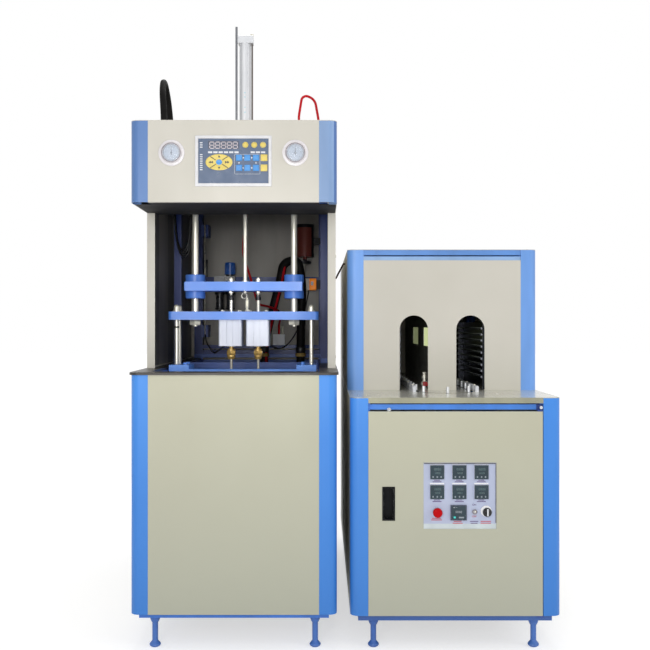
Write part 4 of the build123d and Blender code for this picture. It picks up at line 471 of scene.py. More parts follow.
def hollow_out(piece, margin, depth, facing="front", lean=0.95):
    """Sinks the middle of the face that looks out of the machine. A depth below 0 raises it."""
    out = turns[facing]
    face_pick(piece, lambda normal: normal.dot(out) > lean)
    bpy.ops.mesh.inset(thickness=margin * mm)
    bpy.ops.transform.translate(value=-out * (depth * mm))
    bpy.ops.object.mode_set(mode="OBJECT")
    return piece


def tilt(piece, degrees, about, axis="Y"):
    """Turns the piece that was just made. About Y, a turn above 0 is counter-clockwise."""
    bpy.ops.transform.rotate(value=math.radians(degrees), orient_axis=axis, center_override=about)
    return piece


def gather(first, *others):
    """Joins pieces that are fixed together into the first one."""
    take(first, *others)
    bpy.ops.object.join()
    bpy.ops.object.transform_apply()
    return first


def fit(piece, material, body="machine", smooth=30):
    """Gives a new piece, or a list to be joined, its material, body and slot."""
    if isinstance(piece, list):
        piece = gather(*piece)
    take(piece)
    bpy.ops.object.transform_apply()
    bpy.ops.object.shade_smooth_by_angle(angle=math.radians(smooth))
    piece.data.materials.clear()
    piece.data.materials.append(material)
    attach(piece, body)


def around(degrees, radius):
    """How far aside and up a place on a circle is from its middle; the radius in millimetres."""
    return math.cos(math.radians(degrees)) * radius * mm, math.sin(math.radians(degrees)) * radius * mm


cap_to_size = 1.4


def lettering(name, words, centre, height, depth=0.2):
    """Plain figures printed on a front face, as thin mesh, in millimetres."""
    bpy.ops.object.select_all(action="DESELECT")
    bpy.ops.object.text_add(location=centre, rotation=(math.pi / 2, 0, 0))
    line = bpy.context.active_object.data
    line.body = words
    line.size = height * mm * cap_to_size
    line.extrude = depth * mm
    line.align_x = "CENTER"
    line.align_y = "CENTER"
    bpy.ops.object.convert(target="MESH")
    return started(name)


print_black = moulded("print_black", (52, 54, 62), (44, 46, 54), 0.5)
dial_card = moulded("dial_card", (208, 220, 236), (194, 208, 226), 0.28, 60, 0.05)
dial_shadow_grey = moulded("dial_shadow_grey", (150, 140, 146), (136, 126, 132))
clear_cover = moulded("clear_cover", (236, 240, 246), (232, 236, 242), 0.08, 60, 0.02)
tune(clear_cover, "Alpha", 0.16)
gauge_low, gauge_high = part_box("gauge_cases")
case_radius = 44 * mm
gauge_z = gauge_low.z + case_radius
dial_y = front_y - 3 * mm
print_y = dial_y - 0.7 * mm
first_angle, mark_angle, mark_circle, figure_circle = 225, 9, 26.4, 18.6
for side, gauge_x in (("left", gauge_low.x + case_radius), ("right", gauge_high.x - case_radius)):
    card = disc(side + "_dial_card", (gauge_x, dial_y - 0.3 * mm, gauge_z), 28.8, 0.6, 0.1)
    fit(hollow_out(card, 2, 0.1, lean=0.9), dial_card)
    marks = []
    for step in range(31):
        angle = first_angle - step * mark_angle
        length, width = (3.4, 0.5) if step % 3 == 0 else (1.8, 0.25)
        mark = slab(side + "_dial_mark", (0, print_y, 0), (length, 0.2, width), 0.05, 1)
        marks.append(tilt(mark, angle, (0, dial_y, 0)))
        aside, up = around(angle, mark_circle - length / 2)
        bpy.ops.transform.translate(value=(gauge_x + aside, 0, gauge_z + up))
    for figure in range(0, 11, 2):
        aside, up = around(first_angle - figure * 3 * mark_angle, figure_circle)
        spot = (gauge_x + aside, print_y, gauge_z + up)
        marks.append(lettering(side + "_dial_figure", str(figure), spot, 3.6, 0.1))
    dial_print = gather(*marks)
    dial_print.name = side + "_dial_print"
    fit(dial_print, print_black)
    # A grey ring round each dial is a painted shadow.
    dial_shadow = hoop(side + "_dial_shadow_ring", (gauge_x, front_y - 11.6 * mm, gauge_z), 31.4, 1.5, 64, 8, 0.3)
    fit(dial_shadow, dial_shadow_grey, smooth=60)
    cover_at = (gauge_x, front_y - 10.2 * mm, gauge_z)
    cover = disc(side + "_gauge_cover", cover_at, 29.6, 1.2, 0.3, corners=48)
    hollow_out(cover, 5, -0.6, lean=0.9)
    bpy.ops.object.mode_set(mode="EDIT")
    bpy.ops.mesh.inset(thickness=8 * mm)
    bpy.ops.transform.translate(value=(0, -0.3 * mm, 0))
    bpy.ops.object.mode_set(mode="OBJECT")
    fit(cover, clear_cover, smooth=50)

# Keypad: printed film over raised keys. A dark display with five figures, three round
# keys, an oval pad with a round middle key, six blue keys in a thin line, two side keys.
pad_low, pad_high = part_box("keypad_panel")
pad_x = (pad_low.x + pad_high.x) / 2
pad_z = (pad_low.z + pad_high.z) / 2
film_y = front_y - 2 * mm
key_yellow = moulded("key_yellow", (232, 208, 98), (222, 198, 88), 0.3)
key_blue = moulded("key_blue", (60, 150, 222), (50, 138, 212), 0.3)
print_white = moulded("print_white", (228, 230, 234), (216, 218, 224), 0.42)
display_dark = moulded("display_dark", (84, 92, 112), (76, 84, 104), 0.2)
print_slate = moulded("print_slate", (58, 62, 66), (50, 54, 58), 0.5)
digit_rose = moulded("unlit_segments", (214, 204, 210), (204, 194, 200))


def on_film(across, up, forward):
    """A place on the keypad, from its middle, in millimetres."""
    return (pad_x + across * mm, film_y - forward * mm, pad_z + up * mm)


def spread(piece, shifts):
    """Copies a piece to each shift and joins the copies to it as one piece."""
    copies = []
    for shift in shifts:
        take(piece)
        bpy.ops.object.duplicate()
        copies.append(bpy.context.active_object)
        bpy.ops.transform.translate(value=shift)
    return gather(piece, *copies)


def sideways(*steps):
    """Shifts across the machine, in millimetres."""
    return [(step * mm, 0, 0) for step in steps]


def film_bar(name, across, up, forward, size, round_off=0.1):
    """A thin bar on the film: its width, its thickness and its height."""
    return slab(name, on_film(across, up, forward), size, round_off, 1)


def arrow(name, across, up, forward, turn, radius, thickness):
    """A printed arrow head that points up, turned by so many degrees."""
    spot = on_film(across, up, forward)
    return tilt(disc(name, spot, radius, thickness, 0.1, corners=3), turn, spot)


window = slab("keypad_display", on_film(-33, 53.5, 0.3), (104, 0.8, 28), 0.3)
fit(hollow_out(window, 1.5, 0.3, lean=0.9), display_dark)
digit_width, digit_height, stroke, digit_pitch = 14.4, 21, 2.7, 19.6
flat_bar = (digit_width - stroke, 0.6, stroke)
upright_bar = (stroke, 0.6, digit_height / 2 - stroke)
segments = [(0, row * digit_height / 2, flat_bar) for row in (1, 0, -1)]
for row in (1, -1):
    for column in (1, -1):
        segments.append((column * digit_width / 2, row * digit_height / 4, upright_bar))
bars = [film_bar("keypad_figures", -72 + x, 52.5 + up, 1.2, bar, 0.2) for x, up, bar in segments]
figures = spread(gather(*bars), sideways(*[digit_pitch * step for step in range(1, 5)]))
fit(figures, digit_rose)
round_key = disc("round_keys", on_film(40.3, 53.8, 0.5), 10, 1.4, 0.4)
hollow_out(round_key, 3, 0.25, lean=0.9)
fit(spread(round_key, sideways(29.6, 59.2)), key_yellow)
label_bar = film_bar("label_bars", -78, 29, 0.1, (14.2, 0.4, 6.2))
steps = [17.7 * step for step in range(1, 6)] + [143 + 17.4 * step for step in range(3)]
fit(spread(label_bar, sideways(*steps)), print_white)
side_bar = film_bar("side_marks", -108, 61, 0.1, (9, 0.4, 3.6))
steps = [7.4 * step for step in range(1, 3)] + [40 + 7.2 * step for step in range(8)]
fit(spread(side_bar, [(0, 0, -step * mm) for step in steps]), print_white)
key_levels = (10.5, -23.5)
for name, columns, side, finish in (
    ("blue_keys", (19, 47, 76), 20.6, key_blue), ("side_keys", (103,), 22.6, key_yellow),
):
    caps = []
    for across in columns:
        for up in key_levels:
            cap = slab(name, on_film(across, up, 0.7), (side, 1.4, side), 0.5)
            caps.append(hollow_out(cap, 1.6, 0.2, lean=0.9))
    fit(caps, finish)
oval_x, oval_z = -48, -4.5
oval = disc("oval_pad", on_film(oval_x, oval_z, 0.7), 45.2, 1.5, 0.5, corners=64, flatten=0.6)
fit(hollow_out(oval, 3, 0.2), key_yellow)
lines = []
for across, up in ((-1, 1), (1, 1), (-1, -1), (1, -1)):
    at = (oval_x + across * 20.4, oval_z + up * 13.2, 1.6)
    line = film_bar("oval_lines", *at, (23, 0.5, 2.4))
    lines.append(tilt(line, 33 * across * up, on_film(*at)))
for across, up, turn in (
    (-30, 0, 90), (-23, 0, 90), (30, 0, -90), (23, 0, -90), (0, 18.5, 0), (0, -18.5, 180),
):
    lines.append(arrow("oval_lines", oval_x + across, oval_z + up, 1.6, turn, 5, 0.5))
fit(lines, print_slate)
middle_at = on_film(oval_x, oval_z, 1.3)
middle_key = disc("middle_key", middle_at, 10.4, 1.8, 0.5, corners=40, flatten=0.88)
fit(hollow_out(middle_key, 2.5, 0.3), key_blue)
key_frame = [
    film_bar("key_frame", across, up, 0.1, (width, 0.4, height), 0.15)
    for across, up, width, height in (
        (46.5, 22, 84, 0.9), (46.5, -44, 84, 0.9), (3.7, -11, 0.9, 64), (89.3, -11, 0.9, 64),
    )
]
fit(key_frame, print_white)
arrows = [
    arrow("key_arrows", across, up, 0.3, turn, 4, 0.6)
    for across, up, turn in (
        (33.2, 10.5, -90), (61.6, 10.5, -90), (33.2, -23.5, 90), (61.6, -23.5, 90), (19, -6.5, 180),
        (76, -6.5, 0),
    )
]
fit(arrows, print_white)


# Cover screws: pan heads of zinc-plated steel with a socket, along the edges of every
# cover that comes off for service, at the sides, at the back and on the roofs.
def screws(name, facing, fixed_axis, at, firsts, seconds):
    """The screws of one flat cover: its fixed coordinate and the two lists of the others."""
    places = []
    for one in firsts:
        for two in seconds:
            place = [one, two]
            place.insert("xyz".index(fixed_axis), at)
            places.append(Vector(place))
    head_radius, head_height = 5.5, 3.2
    middle = places[0] + turns[facing] * (1.4 * mm)
    head = disc(name, middle, head_radius, head_height, 1.1, facing, 16)
    hollow_out(head, 0.3 * head_radius, 1.2, facing)
    heads = spread(head, [place - places[0] for place in places[1:]])
    fit(heads, zinc, smooth=40)


lower_levels = (0.17, 0.53, 0.89)
heater_levels = (0.16, 0.49, 0.82)
upper_levels = (0.98, 1.36, 1.75)
housing_levels = (0.90, 1.12, 1.34)
panel_depths = (-0.41, 0.085, 0.58)
heater_columns = (0.11, 0.3735, 0.637)
left_side, right_side = cad_low.x + 6 * mm, cad_high.x
blower_back, head_roof, housing_roof = 0.612, 1.789, 1.383
screws("left_cover_screws", "left", "x", left_side, (-0.70, -0.09, 0.52), lower_levels)
screws("left_panel_screws", "left", "x", left_side, panel_depths, upper_levels)
screws("right_panel_screws", "right", "x", side_high.x, panel_depths, upper_levels)
screws("right_cover_screws", "right", "x", right_side, (-0.70, 0.01, 0.72), heater_levels)
screws("housing_side_screws", "right", "x", right_side, (-0.35, 0.185, 0.72), housing_levels)
screws("blower_back_screws", "back", "y", blower_back, (-0.63, -0.374, -0.118), lower_levels)
screws("heater_back_screws", "back", "y", cad_high.y, heater_columns, heater_levels)
screws("housing_back_screws", "back", "y", cad_high.y, heater_columns, housing_levels)
screws("head_roof_screws", "up", "z", head_roof, (-0.70, -0.048), (-0.76, -0.09, 0.58))
screws("housing_roof_screws", "up", "z", housing_roof, (0.05, 0.70), (-0.41, 0.18, 0.78))

# Head fittings: cap screws that hold the seal cylinders to the lower platen, the eye of
# the piston rod, an exhaust cone, the guides' lock nuts and the brass collars of the nozzles.
axis_y = (seal_low.y + seal_high.y) / 2
blow_x = (seal_low.x + seal_high.x) / 2
nozzle_brass = brushed(
    "nozzle_brass", (214, 182, 108), (170, 136, 70), (30, 30, 90), 0.24, 0.02, metallic=0.5
)


def by_axis(across, back, level):
    """A place by the middle of the blowing head: millimetres aside and back, and its level."""
    return (blow_x + across * mm, axis_y + back * mm, level)


def stacked(name, across, back, foot, round_off, *rings):
    """Turned rings on one upright axis: the low and high level, radius and corners of each."""
    parts = []
    for low, high, radius, corners in rings:
        middle = (across, back, foot + (low + high) / 2 * mm)
        parts.append(disc(name, middle, radius, high - low, round_off, "up", corners))
    return gather(*parts)


cap_at = by_axis(-84, -32, platen_top + 3 * mm)
cap_screw = hollow_out(disc("platen_cap_screws", cap_at, 5, 6.4, 0.8, "up", 18), 2, 2.6, "up")
shifts = [
    (across * mm, back * mm, 0) for across in (0, 64, 104, 168) for back in (0, 64)
]
fit(spread(cap_screw, shifts[1:]), zinc)
eye = hoop("piston_rod_eye", by_axis(-2, 0, 1.212), 10, 2.8, 32, 10)
eye_neck = disc("piston_rod_eye", by_axis(-2, 0, 1.2245), 5, 9, 1, "up", 6)
fit([eye, eye_neck], stretch_steel, "crosshead", 50)
cone_x, cone_y, cone_foot = by_axis(12, -36, platen_top)
cone = stacked(
    "platen_silencer", cone_x, cone_y, cone_foot, 1.6,
    (0, 8, 8, 6), (8, 14, 5, 20), (14, 46, 7.4, 24), (46, 54, 4.6, 20),
)
fit(cone, zinc)
collar = disc("stay_collar", (-0.631, -0.3805, 1.092), 9.6, 7, 1, "up", 28)
fit(hollow_out(collar, 1, 0.4, "up"), black_plastic)
seal_spacing, guide_spacing = 104, 380
band_at = by_axis(-seal_spacing / 2, 0, seal_low.z - 1.6 * mm)
band = disc("seal_bands", band_at, 17, 3, 0.8, "up", 40)
fit(spread(band, sideways(seal_spacing)), zinc)
lock_nut = disc("guide_lock_nuts", by_axis(-guide_spacing / 2, 0, 1.1095), 23, 20, 2, "up", 6)
fit(spread(lock_nut, sideways(guide_spacing)), zinc)
for side, across in (("left", -seal_spacing / 2), ("right", seal_spacing / 2)):
    rings = stacked(
        side + "_nozzle_collar", blow_x + across * mm, axis_y, 0, 1.4,
        (969.5, 976, 12, 32), (976, 984, 15.5, 32), (984, 1001, 18.5, 6),
        (1001, 1009, 14.5, 32),
    )
    fit(rings, nozzle_brass, side + "_seal")

# Stretch cylinder details: raised beads along the drawn barrel, four stick-on depth marks
# and the push-in fitting of its air pipe.
mark_cyan = moulded("mark_cyan", (120, 206, 220), (110, 196, 212))
bead_grey = moulded("bead_grey", (150, 154, 162), (138, 142, 150))
piston_low, piston_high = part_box("piston_rod")
barrel_x = blow_x + 1.5 * mm
barrel_y = (piston_low.y + piston_high.y) / 2
beads = []
bead_circle = 21.6
for turn in (-58, -34, 34, 58):
    ahead, aside = around(turn, bead_circle)
    spot = (barrel_x + aside, barrel_y - ahead, 1.985)
    beads.append(slab("barrel_beads", spot, (1, 1, 390), 0.3, 1))
fit(beads, bead_grey)
marks = [
    slab("depth_marks", (barrel_x + 1 * mm, barrel_y - 21.7 * mm, level), (6, 0.5, 2.2), 0.15, 1)
    for level in (1.915, 1.934, 1.973, 1.989)
]
fit(marks, mark_cyan)
pipe_y = -0.3475
pipe_nut = disc("pipe_fitting", (-0.3465, pipe_y, 2.2145), 7, 9, 1, "up", 6)
cap_plug = disc("pipe_fitting", (-0.3725, pipe_y, 2.212), 12, 5, 1, "up", 6)
fit([pipe_nut, cap_plug], zinc)

# Air line on the rear beam: filter and regulator in dark mouldings, a blue knob, a red-brown
# silencer, a valve with an orange coil, a blue muffler on brass, a white exhaust block.
bowl_zone = zone((44, 46, 50), z=(0, 1.2605))
cap_zone = zone((122, 124, 130), x=(-far, -0.548), z=(1.302, far))
line_black = moulded("air_line_plastic", (30, 31, 34), (22, 23, 26), 0.3, zones=(bowl_zone, cap_zone))
knob_blue = moulded("knob_blue", (30, 92, 178), (24, 78, 158), 0.36)
muffler_span = (-0.2, -0.158)
valve_finish = moulded(
    "valve_mouldings", (28, 28, 32), (20, 20, 24), 0.34,
    zones=(
        zone((120, 60, 52), x=(-far, -0.1265), z=(1.415, 1.565)),
        zone((255, 150, 24), x=(-0.137, -0.104), z=(1.26, 1.33)),
        zone((232, 228, 218), x=(-0.17, -0.137), z=(1.26, 1.33)),
        zone((30, 58, 120), x=muffler_span, z=(1.025, 1.09)),
        zone((168, 140, 84), x=muffler_span, z=(0.998, 1.018)),
        zone((250, 252, 255), x=(-0.32, -0.25), z=(0.99, 1.07)),
    ),
)
tune(valve_finish, "Specular IOR Level", 0.12)
dress(line_black, "filter_regulator")
dress(knob_blue, "regulator_knob")
dress(valve_finish, "rear_valves")
# The coil cover glows a little: painted light on a part in shade.
amber_glow = moulded("amber_coil_glow", (255, 150, 24), (246, 138, 16), 0.4, 300)
tune(amber_glow, "Emission Color", tone((250, 138, 16)))
tune(amber_glow, "Emission Strength", 0.28)
coil_cover = slab("coil_cover", (-0.1205, 0.4925, 1.2950), (32, 8, 54), 2.4)
fit(hollow_out(coil_cover, 5, -0.8), amber_glow)
coil_label = slab("coil_label", (-0.1240, 0.4874, 1.2990), (13, 1, 19), 0.3, 1)
fit(coil_label, print_white)
regulator_x = -0.519
bowls = [
    stacked(
        "bowl_rings", across, 0.516, 0, 1.2,
        (1246, 1258, 24.5, 40), (1176, 1182, 22.5, 40), (1164, 1174, 6, 6),
        (1157, 1165, 3, 16),
    )
    for across in (-0.569, regulator_x)
]
fit(bowls, black_plastic)
gauge_body = disc("line_gauge", (regulator_x, 0.491, 1.302), 15, 9, 1.4)
fit(hollow_out(gauge_body, 3, 1.4), black_plastic)
gauge_card = disc("line_gauge_card", (regulator_x, 0.4875, 1.302), 11.6, 1, 0.2)
fit(hollow_out(gauge_card, 2, 0.1), dial_card)
grips = []
grip_count, grip_circle = 20, 25
for step in range(grip_count):
    turn = 360 / grip_count * step
    aside, back = around(turn, grip_circle)
    spot = (regulator_x + aside, 0.515 + back, 1.366)
    grips.append(tilt(slab("knob_grips", spot, (1.6, 2.4, 44), 0.5, 1), -turn, spot, "Z"))
fit(grips, knob_blue, "regulator")
silencer_x, silencer_y = -0.1645, 0.4935
bands = [
    disc("silencer_caps", (silencer_x, silencer_y, level), 37, 12, 2, "up", 48)
    for level in (1.40, 1.575)
]
fit(bands, black_plastic)
stub = stacked(
    "exhaust_fitting", -0.2685, 0.552, 0, 1,
    (1055, 1066, 9, 6), (1066, 1086, 6, 20), (1086, 1096, 8, 6),
)
fit(stub, zinc)


# Hoses: black rubber with a red stripe on the big one, red tubes, and the dark tube between
# the two cabinets. Roof ends stand in grommets or brass fittings, the big hose in unions.
red_tube = (190, 26, 34)
roof_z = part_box("top_panels")[1].z
low_levels = (1.05, 1.3)
rubber = moulded(
    "hose_rubber", (20, 18, 17), (13, 12, 12), 0.62, 300, 0.02,
    zones=(
        zone((206, 34, 44), x=(-0.25, -0.02), z=(1.70, far)),
        zone(red_tube, x=(-0.42, -0.34), y=(-0.1, 0.57), z=(1.05, 1.62)),
        zone(red_tube, x=(-0.345, -0.255), y=(-0.1, 0.235), z=low_levels),
        zone(red_tube, x=(-0.42, -0.255), y=(0.305, 0.57), z=low_levels),
        zone((64, 38, 36), x=(-0.03, 0.03), y=(-far, 0), z=(1.25, 1.4)),
        zone(red_tube, x=(-0.4, -0.24), y=(0.24, 0.31), z=(0.8, 1.5), facing=(0.33, -0.42, 0.05)),
    ),
)
tune(rubber, "Specular IOR Level", 0.12)
dress(rubber, "air_hoses")
grommet = disc("roof_grommets", (-0.678, -0.4225, roof_z + 4 * mm), 18, 9, 3, "up", 40)
fit(spread(grommet, [(0, 0.150, 0)]), black_plastic)
fitting = []
for end_x in (-0.1640, -0.0960):
    for rise, radius, length, round_off, corners in ((3, 9, 6, 1, 6), (9, 7, 8, 1.5, 24)):
        middle = (end_x, pipe_y, roof_z + rise * mm)
        fitting.append(disc("push_in_fittings", middle, radius, length, round_off, "up", corners))
turned_brass = brushed("turned_brass", (206, 168, 96), (184, 146, 78), (60, 60, 240), 0.26)
fit(fitting, turned_brass)
union_x, union_y, hose_gap = -0.174, 0.2725, 166
union = disc("hose_unions", (union_x, union_y, 0.965), 23.5, 16, 1.6, "up", 8)
fit(spread(union, sideways(-hose_gap)), nozzle_brass)
sleeve = disc("hose_sleeves", (union_x, union_y, 0.988), 22.5, 24, 2.4, "up", 40)
fit(spread(sleeve, sideways(-hose_gap)), black_plastic)


# Wiring: black sheathed cables clipped inside the work space, from the sensor box to the
# seal cylinders and in a loop below the soffit. The silencer's bright elbow is bent alike.
def cable(name, radius, *points):
    """A short sheathed cable along points, held at both ends, as mesh."""
    line = bpy.data.curves.new(name, "CURVE")
    line.dimensions = "3D"
    run = line.splines.new("NURBS")
    run.points.add(len(points) - 1)
    for point, place in zip(run.points, points):
        point.co = (*place, 1)
    run.order_u = 3
    run.use_endpoint_u = True
    run.resolution_u = 8
    line.bevel_depth = radius * mm
    line.bevel_resolution = 3
    line.use_fill_caps = True
    piece = bpy.data.objects.new(name, line)
    bpy.context.collection.objects.link(piece)
    take(piece)
    bpy.ops.object.convert(target="MESH")
    return bpy.context.active_object


for name, *points in (
    (
        "sensor_cable",
        (-0.640, 0.520, 1.055), (-0.632, 0.48, 1.02), (-0.600, 0.40, 0.985), (-0.560, 0.20, 0.975),
        (-0.520, -0.05, 0.985), (-0.480, -0.22, 1.005), (-0.452, -0.30, 1.028), (-0.446, -0.325, 1.050),
    ),
    (
        "valve_cable",
        (-0.140, 0.500, 1.270), (-0.146, 0.470, 1.22), (-0.170, 0.38, 1.12), (-0.205, 0.20, 1.04),
        (-0.240, 0, 1.00), (-0.270, -0.18, 1.005), (-0.288, -0.28, 1.03), (-0.292, -0.325, 1.050),
    ),
):
    fit(cable(name, 3, *points), black_plastic, smooth=60)
loom = [
    cable(
        "head_wiring", 3.6,
        (-0.688, -0.10 + lag, 1.60), (-0.684, -0.10 + lag, 1.50 - lag),
        (-0.668, -0.11 + lag, 1.42 - lag), (-0.640, -0.12 + lag, 1.40 - lag),
        (-0.618, -0.12 + lag, 1.45 - lag), (-0.612, -0.12 + lag, 1.60),
    )
    for lag in (0, 0.012, 0.026)
]
fit(loom, black_plastic, smooth=60)
silencer_elbow = cable(
    "silencer_elbow", 9.5,
    (silencer_x, silencer_y, 1.396), (silencer_x, silencer_y, 1.378), (silencer_x, 0.490, 1.360),
    (-0.170, 0.485, 1.346), (-0.184, 0.482, 1.340), (-0.196, 0.480, 1.340),
)
fit(silencer_elbow, chrome, smooth=60)

# Rear door hinges and stops: dark blue blocks with knuckles, a thin bright rod that ties the
# two stops, and the moulded cup of the door's grip. Two pan heads hold the front rail.
hinge_blue = enamel("hinge_enamel", (46, 76, 156), (38, 64, 136), (90, 106, 140), 0.4)
dress(hinge_blue, "door_hinges")
cup = slab("door_grip_cup", (-0.6555, 0.6072, 1.364), (36, 5, 116), 1.6)
fit(hollow_out(cup, 3, 3, "back"), black_plastic, "rear_door")
stop_rod = disc("stop_rod", (-0.641, 0.519, 1.313), 2.6, 540, 0.6, "up", 14)
fit(hollow_out(stop_rod, 0.6, 0.2, "up"), zinc)
lug_at = (0.6600, front_y - 0.4 * mm, 0.8225)
rail_at = (0.1500, front_y + 16 * mm, 0.8140)
# The two rail screws are white: a painted highlight.
heads = [
    hollow_out(disc("rail_screws", lug_at, 5.6, 4, 1.4, "front", 18), 2, 1.2),
    hollow_out(disc("rail_screws", rail_at, 7, 6, 2.4, "front", 18), 2, 1.2),
]
fit(heads, print_white)

# Heating tunnels: dull reflector sheets, quartz tubes with a pale strip along each that is a
# painted highlight, ceramic ends, and heat-proof glass in the windows of the partition that
# glows pale green with painted light.
reflector = brushed("reflector_sheet", (70, 72, 80), (52, 54, 60), (4, 4, 160), 0.3, 0.03)
partition_grain = (6, 4, 30)
partition_sheet = brushed(
    "partition_sheet", (136, 136, 130), (114, 114, 108), partition_grain, 0.4, 0.03, metallic=0.3
)
quartz = moulded("lamp_quartz", (70, 74, 84), (56, 60, 70), 0.12, 60, 0.02)
ceramic = moulded("lamp_ceramic", (176, 180, 190), (160, 164, 176), 0.5)
dress(reflector, "lamp_banks")
dress(partition_sheet, "tunnel_partition")
dress(quartz, "lamp_tubes")
lamp_low, lamp_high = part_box("lamp_tubes")
lamp_half = 5 * mm
lamp_rows = 9
row_pitch = (lamp_high.z - lamp_low.z - 2 * lamp_half) / (lamp_rows - 1)
lamp_ends = (lamp_low.y, 0.168, 0.182, lamp_high.y)
end_shifts = []
for row in range(lamp_rows):
    for end, inward in zip(lamp_ends, (lamp_half, -lamp_half, lamp_half, -lamp_half)):
        end_shifts.append((0, end + inward - lamp_ends[0] - lamp_half, row * row_pitch))
row_shifts = [(0, 0, row * row_pitch) for row in range(1, lamp_rows)]
for side, lamp_x, inwards in (
    ("left", lamp_low.x + lamp_half, 1), ("right", lamp_high.x - lamp_half, -1),
):
    middle = (lamp_x + inwards * 4 * mm, lamp_ends[0] + lamp_half, lamp_low.z + lamp_half)
    block = slab(side + "_lamp_ends", middle, (19, 9, 8), 2)
    fit(spread(block, end_shifts[1:]), ceramic)
    # A pale strip along each tube is a painted highlight.
    lamp_highlights = []
    for start, end in (lamp_ends[:2], lamp_ends[2:]):
        spot = (lamp_x + inwards * 3.4 * mm, (start + end) / 2, lamp_low.z + lamp_half + 3.4 * mm)
        length = (end - start) / mm - 18
        lamp_highlights.append(slab(side + "_lamp_highlight", spot, (2.4, length, 1.4), 0.4, 1))
    fit(spread(gather(*lamp_highlights), row_shifts), ceramic)
partition_low, partition_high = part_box("tunnel_partition")
# The window panes glow pale green: painted light.
for label, start, end, shine in (("near", 0.425, 0.623, 0.85), ("far", 0.826, 1.043, 0.22)):
    glass = moulded(label + "_window_glow", (190, 202, 146), (174, 188, 130), 0.2, 60, 0.02)
    tune(glass, "Emission Color", tone((208, 218, 162)))
    tune(glass, "Emission Strength", shine)
    panes = []
    for wall in (partition_low.x + 3 * mm, partition_high.x - 3 * mm):
        spot = (wall, front_y + (start + end) / 2, 1.0535)
        length = (end - start) / mm + 4
        panes.append(slab(label + "_window_panes", spot, (1.6, length, 77), 0.5, 1))
    fit(panes, glass)

# Chain, spindles and rails: dark oiled links below the table, and white plastic sleeves on
# the spindles and rails above it, where preforms touch them. Bolts hold the rails.
sleeve_zone = zone((228, 230, 232), z=(table_top + 1 * mm, far))
chain_steel = brushed(
    "chain_steel", (96, 96, 98), (70, 70, 74), (60, 60, 60), 0.36,
    zones=(sleeve_zone,), metallic=0.5,
)
rail_white = moulded("rail_white", (226, 228, 232), (212, 214, 220), 0.3)
drive_steel = enamel("drive_enamel", (92, 98, 104), (78, 84, 90), (140, 144, 148))
valve_red = moulded("valve_red", (180, 28, 34), (160, 22, 28), 0.36)
dress(chain_steel, "conveyor_chain")
dress(rail_white, "guide_rails")
dress(drive_steel, "conveyor_drive")
dress(chrome, "cooling_valve")
dress(valve_red, "valve_lever")
rail_low, rail_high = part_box("guide_rails")
bolts = []
bolt_start, bolt_pitch = 0.06, 0.17
for across in (rail_low.x + 6 * mm, rail_high.x - 6 * mm):
    for step in range(7):
        spot = (across, rail_low.y + bolt_start + step * bolt_pitch, rail_high.z + 1.2 * mm)
        bolts.append(disc("rail_bolts", spot, 4, 3, 1, "up", 14))
fit(bolts, zinc)
tip_at = (0.3155, -0.3675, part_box("cooling_valve")[1].z - 2 * mm)
tip = disc("valve_tip", tip_at, 7.6, 9, 1.4, "up", 6)
fit(hollow_out(tip, 3, 2, "up"), chrome)

# Door pull and control plate: a black cup, and a lilac plate behind the window of the door
# that carries every instrument. Its foot is paler with painted light where it slants.
# The foot of the plate is paler with painted light.
foot_painted_light = zone((214, 224, 228), z=(0, 0.432))
plate_lilac = enamel(
    "control_plate_enamel", (187, 195, 219), (179, 187, 212), (150, 150, 160), 0.4, zones=(foot_painted_light,)
)
pull_black = moulded("pull_black", (8, 9, 13), (5, 6, 9), 0.5)
tune(pull_black, "Specular IOR Level", 0.15)
dress(pull_black, "door_handle")
dress(plate_lilac, "control_plate")

# Temperature controllers and timer: pale bezels, dark teal fronts behind clear film, unlit
# figures and three keys each. The timer has a lit cyan key.
timer_zone = zone((66, 76, 96), x=(0.35, 0.412), z=(0.44, 0.50))
bezel = moulded("bezel_plastic", (186, 190, 202), (176, 180, 192), 0.34, zones=(timer_zone,))
teal_front = moulded("teal_front", (34, 58, 68), (28, 50, 60), 0.16)
faint_print = moulded("faint_print", (84, 112, 116), (76, 104, 108), 0.3)
key_print = moulded("key_print", (150, 160, 168), (140, 150, 158), 0.3)
lit_cyan = moulded("lit_cyan", (70, 226, 216), (60, 216, 206), 0.3)
dress(bezel, "panel_instruments")
heat_x = (rail_low.x + rail_high.x) / 2


def off(at, across, forward, up):
    """A place by an instrument's middle, in millimetres."""
    return at + Vector((across * mm, -forward * mm, up * mm))


columns = (-63.2, 11.4, 85.6)
rows = (605.7, 539.2)
fronts, figures, keys = [], [], []
for column in columns:
    for row in rows:
        at = Vector((heat_x + column * mm, front_y - 3.9 * mm, row * mm))
        pane = slab("controller_fronts", off(at, 0, 0.4, 0), (46.8, 1, 46.8), 0.4, 1)
        fronts.append(hollow_out(pane, 1.6, 0.3))
        for up, height in ((9.5, 8.5), (-3, 6.5)):
            figures.append(lettering("controller_figures", "8888", off(at, 1.5, 1, up), height))
        for across in (-14, 0, 13):
            keys.append(slab("controller_keys", off(at, across, 0.9, -15.6), (4.6, 0.8, 5.4), 0.3, 1))
fit(fronts, teal_front, "heater_door")
fit(figures, faint_print, "heater_door")
fit(keys, key_print, "heater_door")
timer_at = Vector((heat_x + 8.7 * mm, front_y - 4.9 * mm, 0.4697))
timer_pane = slab("timer_front", off(timer_at, 0, 0.4, 0), (48, 1, 45), 0.4, 1)
fit(hollow_out(timer_pane, 2, 0.3), teal_front, "heater_door")
timer_print = [lettering("timer_print", "8888", off(timer_at, 0, 1, 3), 8)]
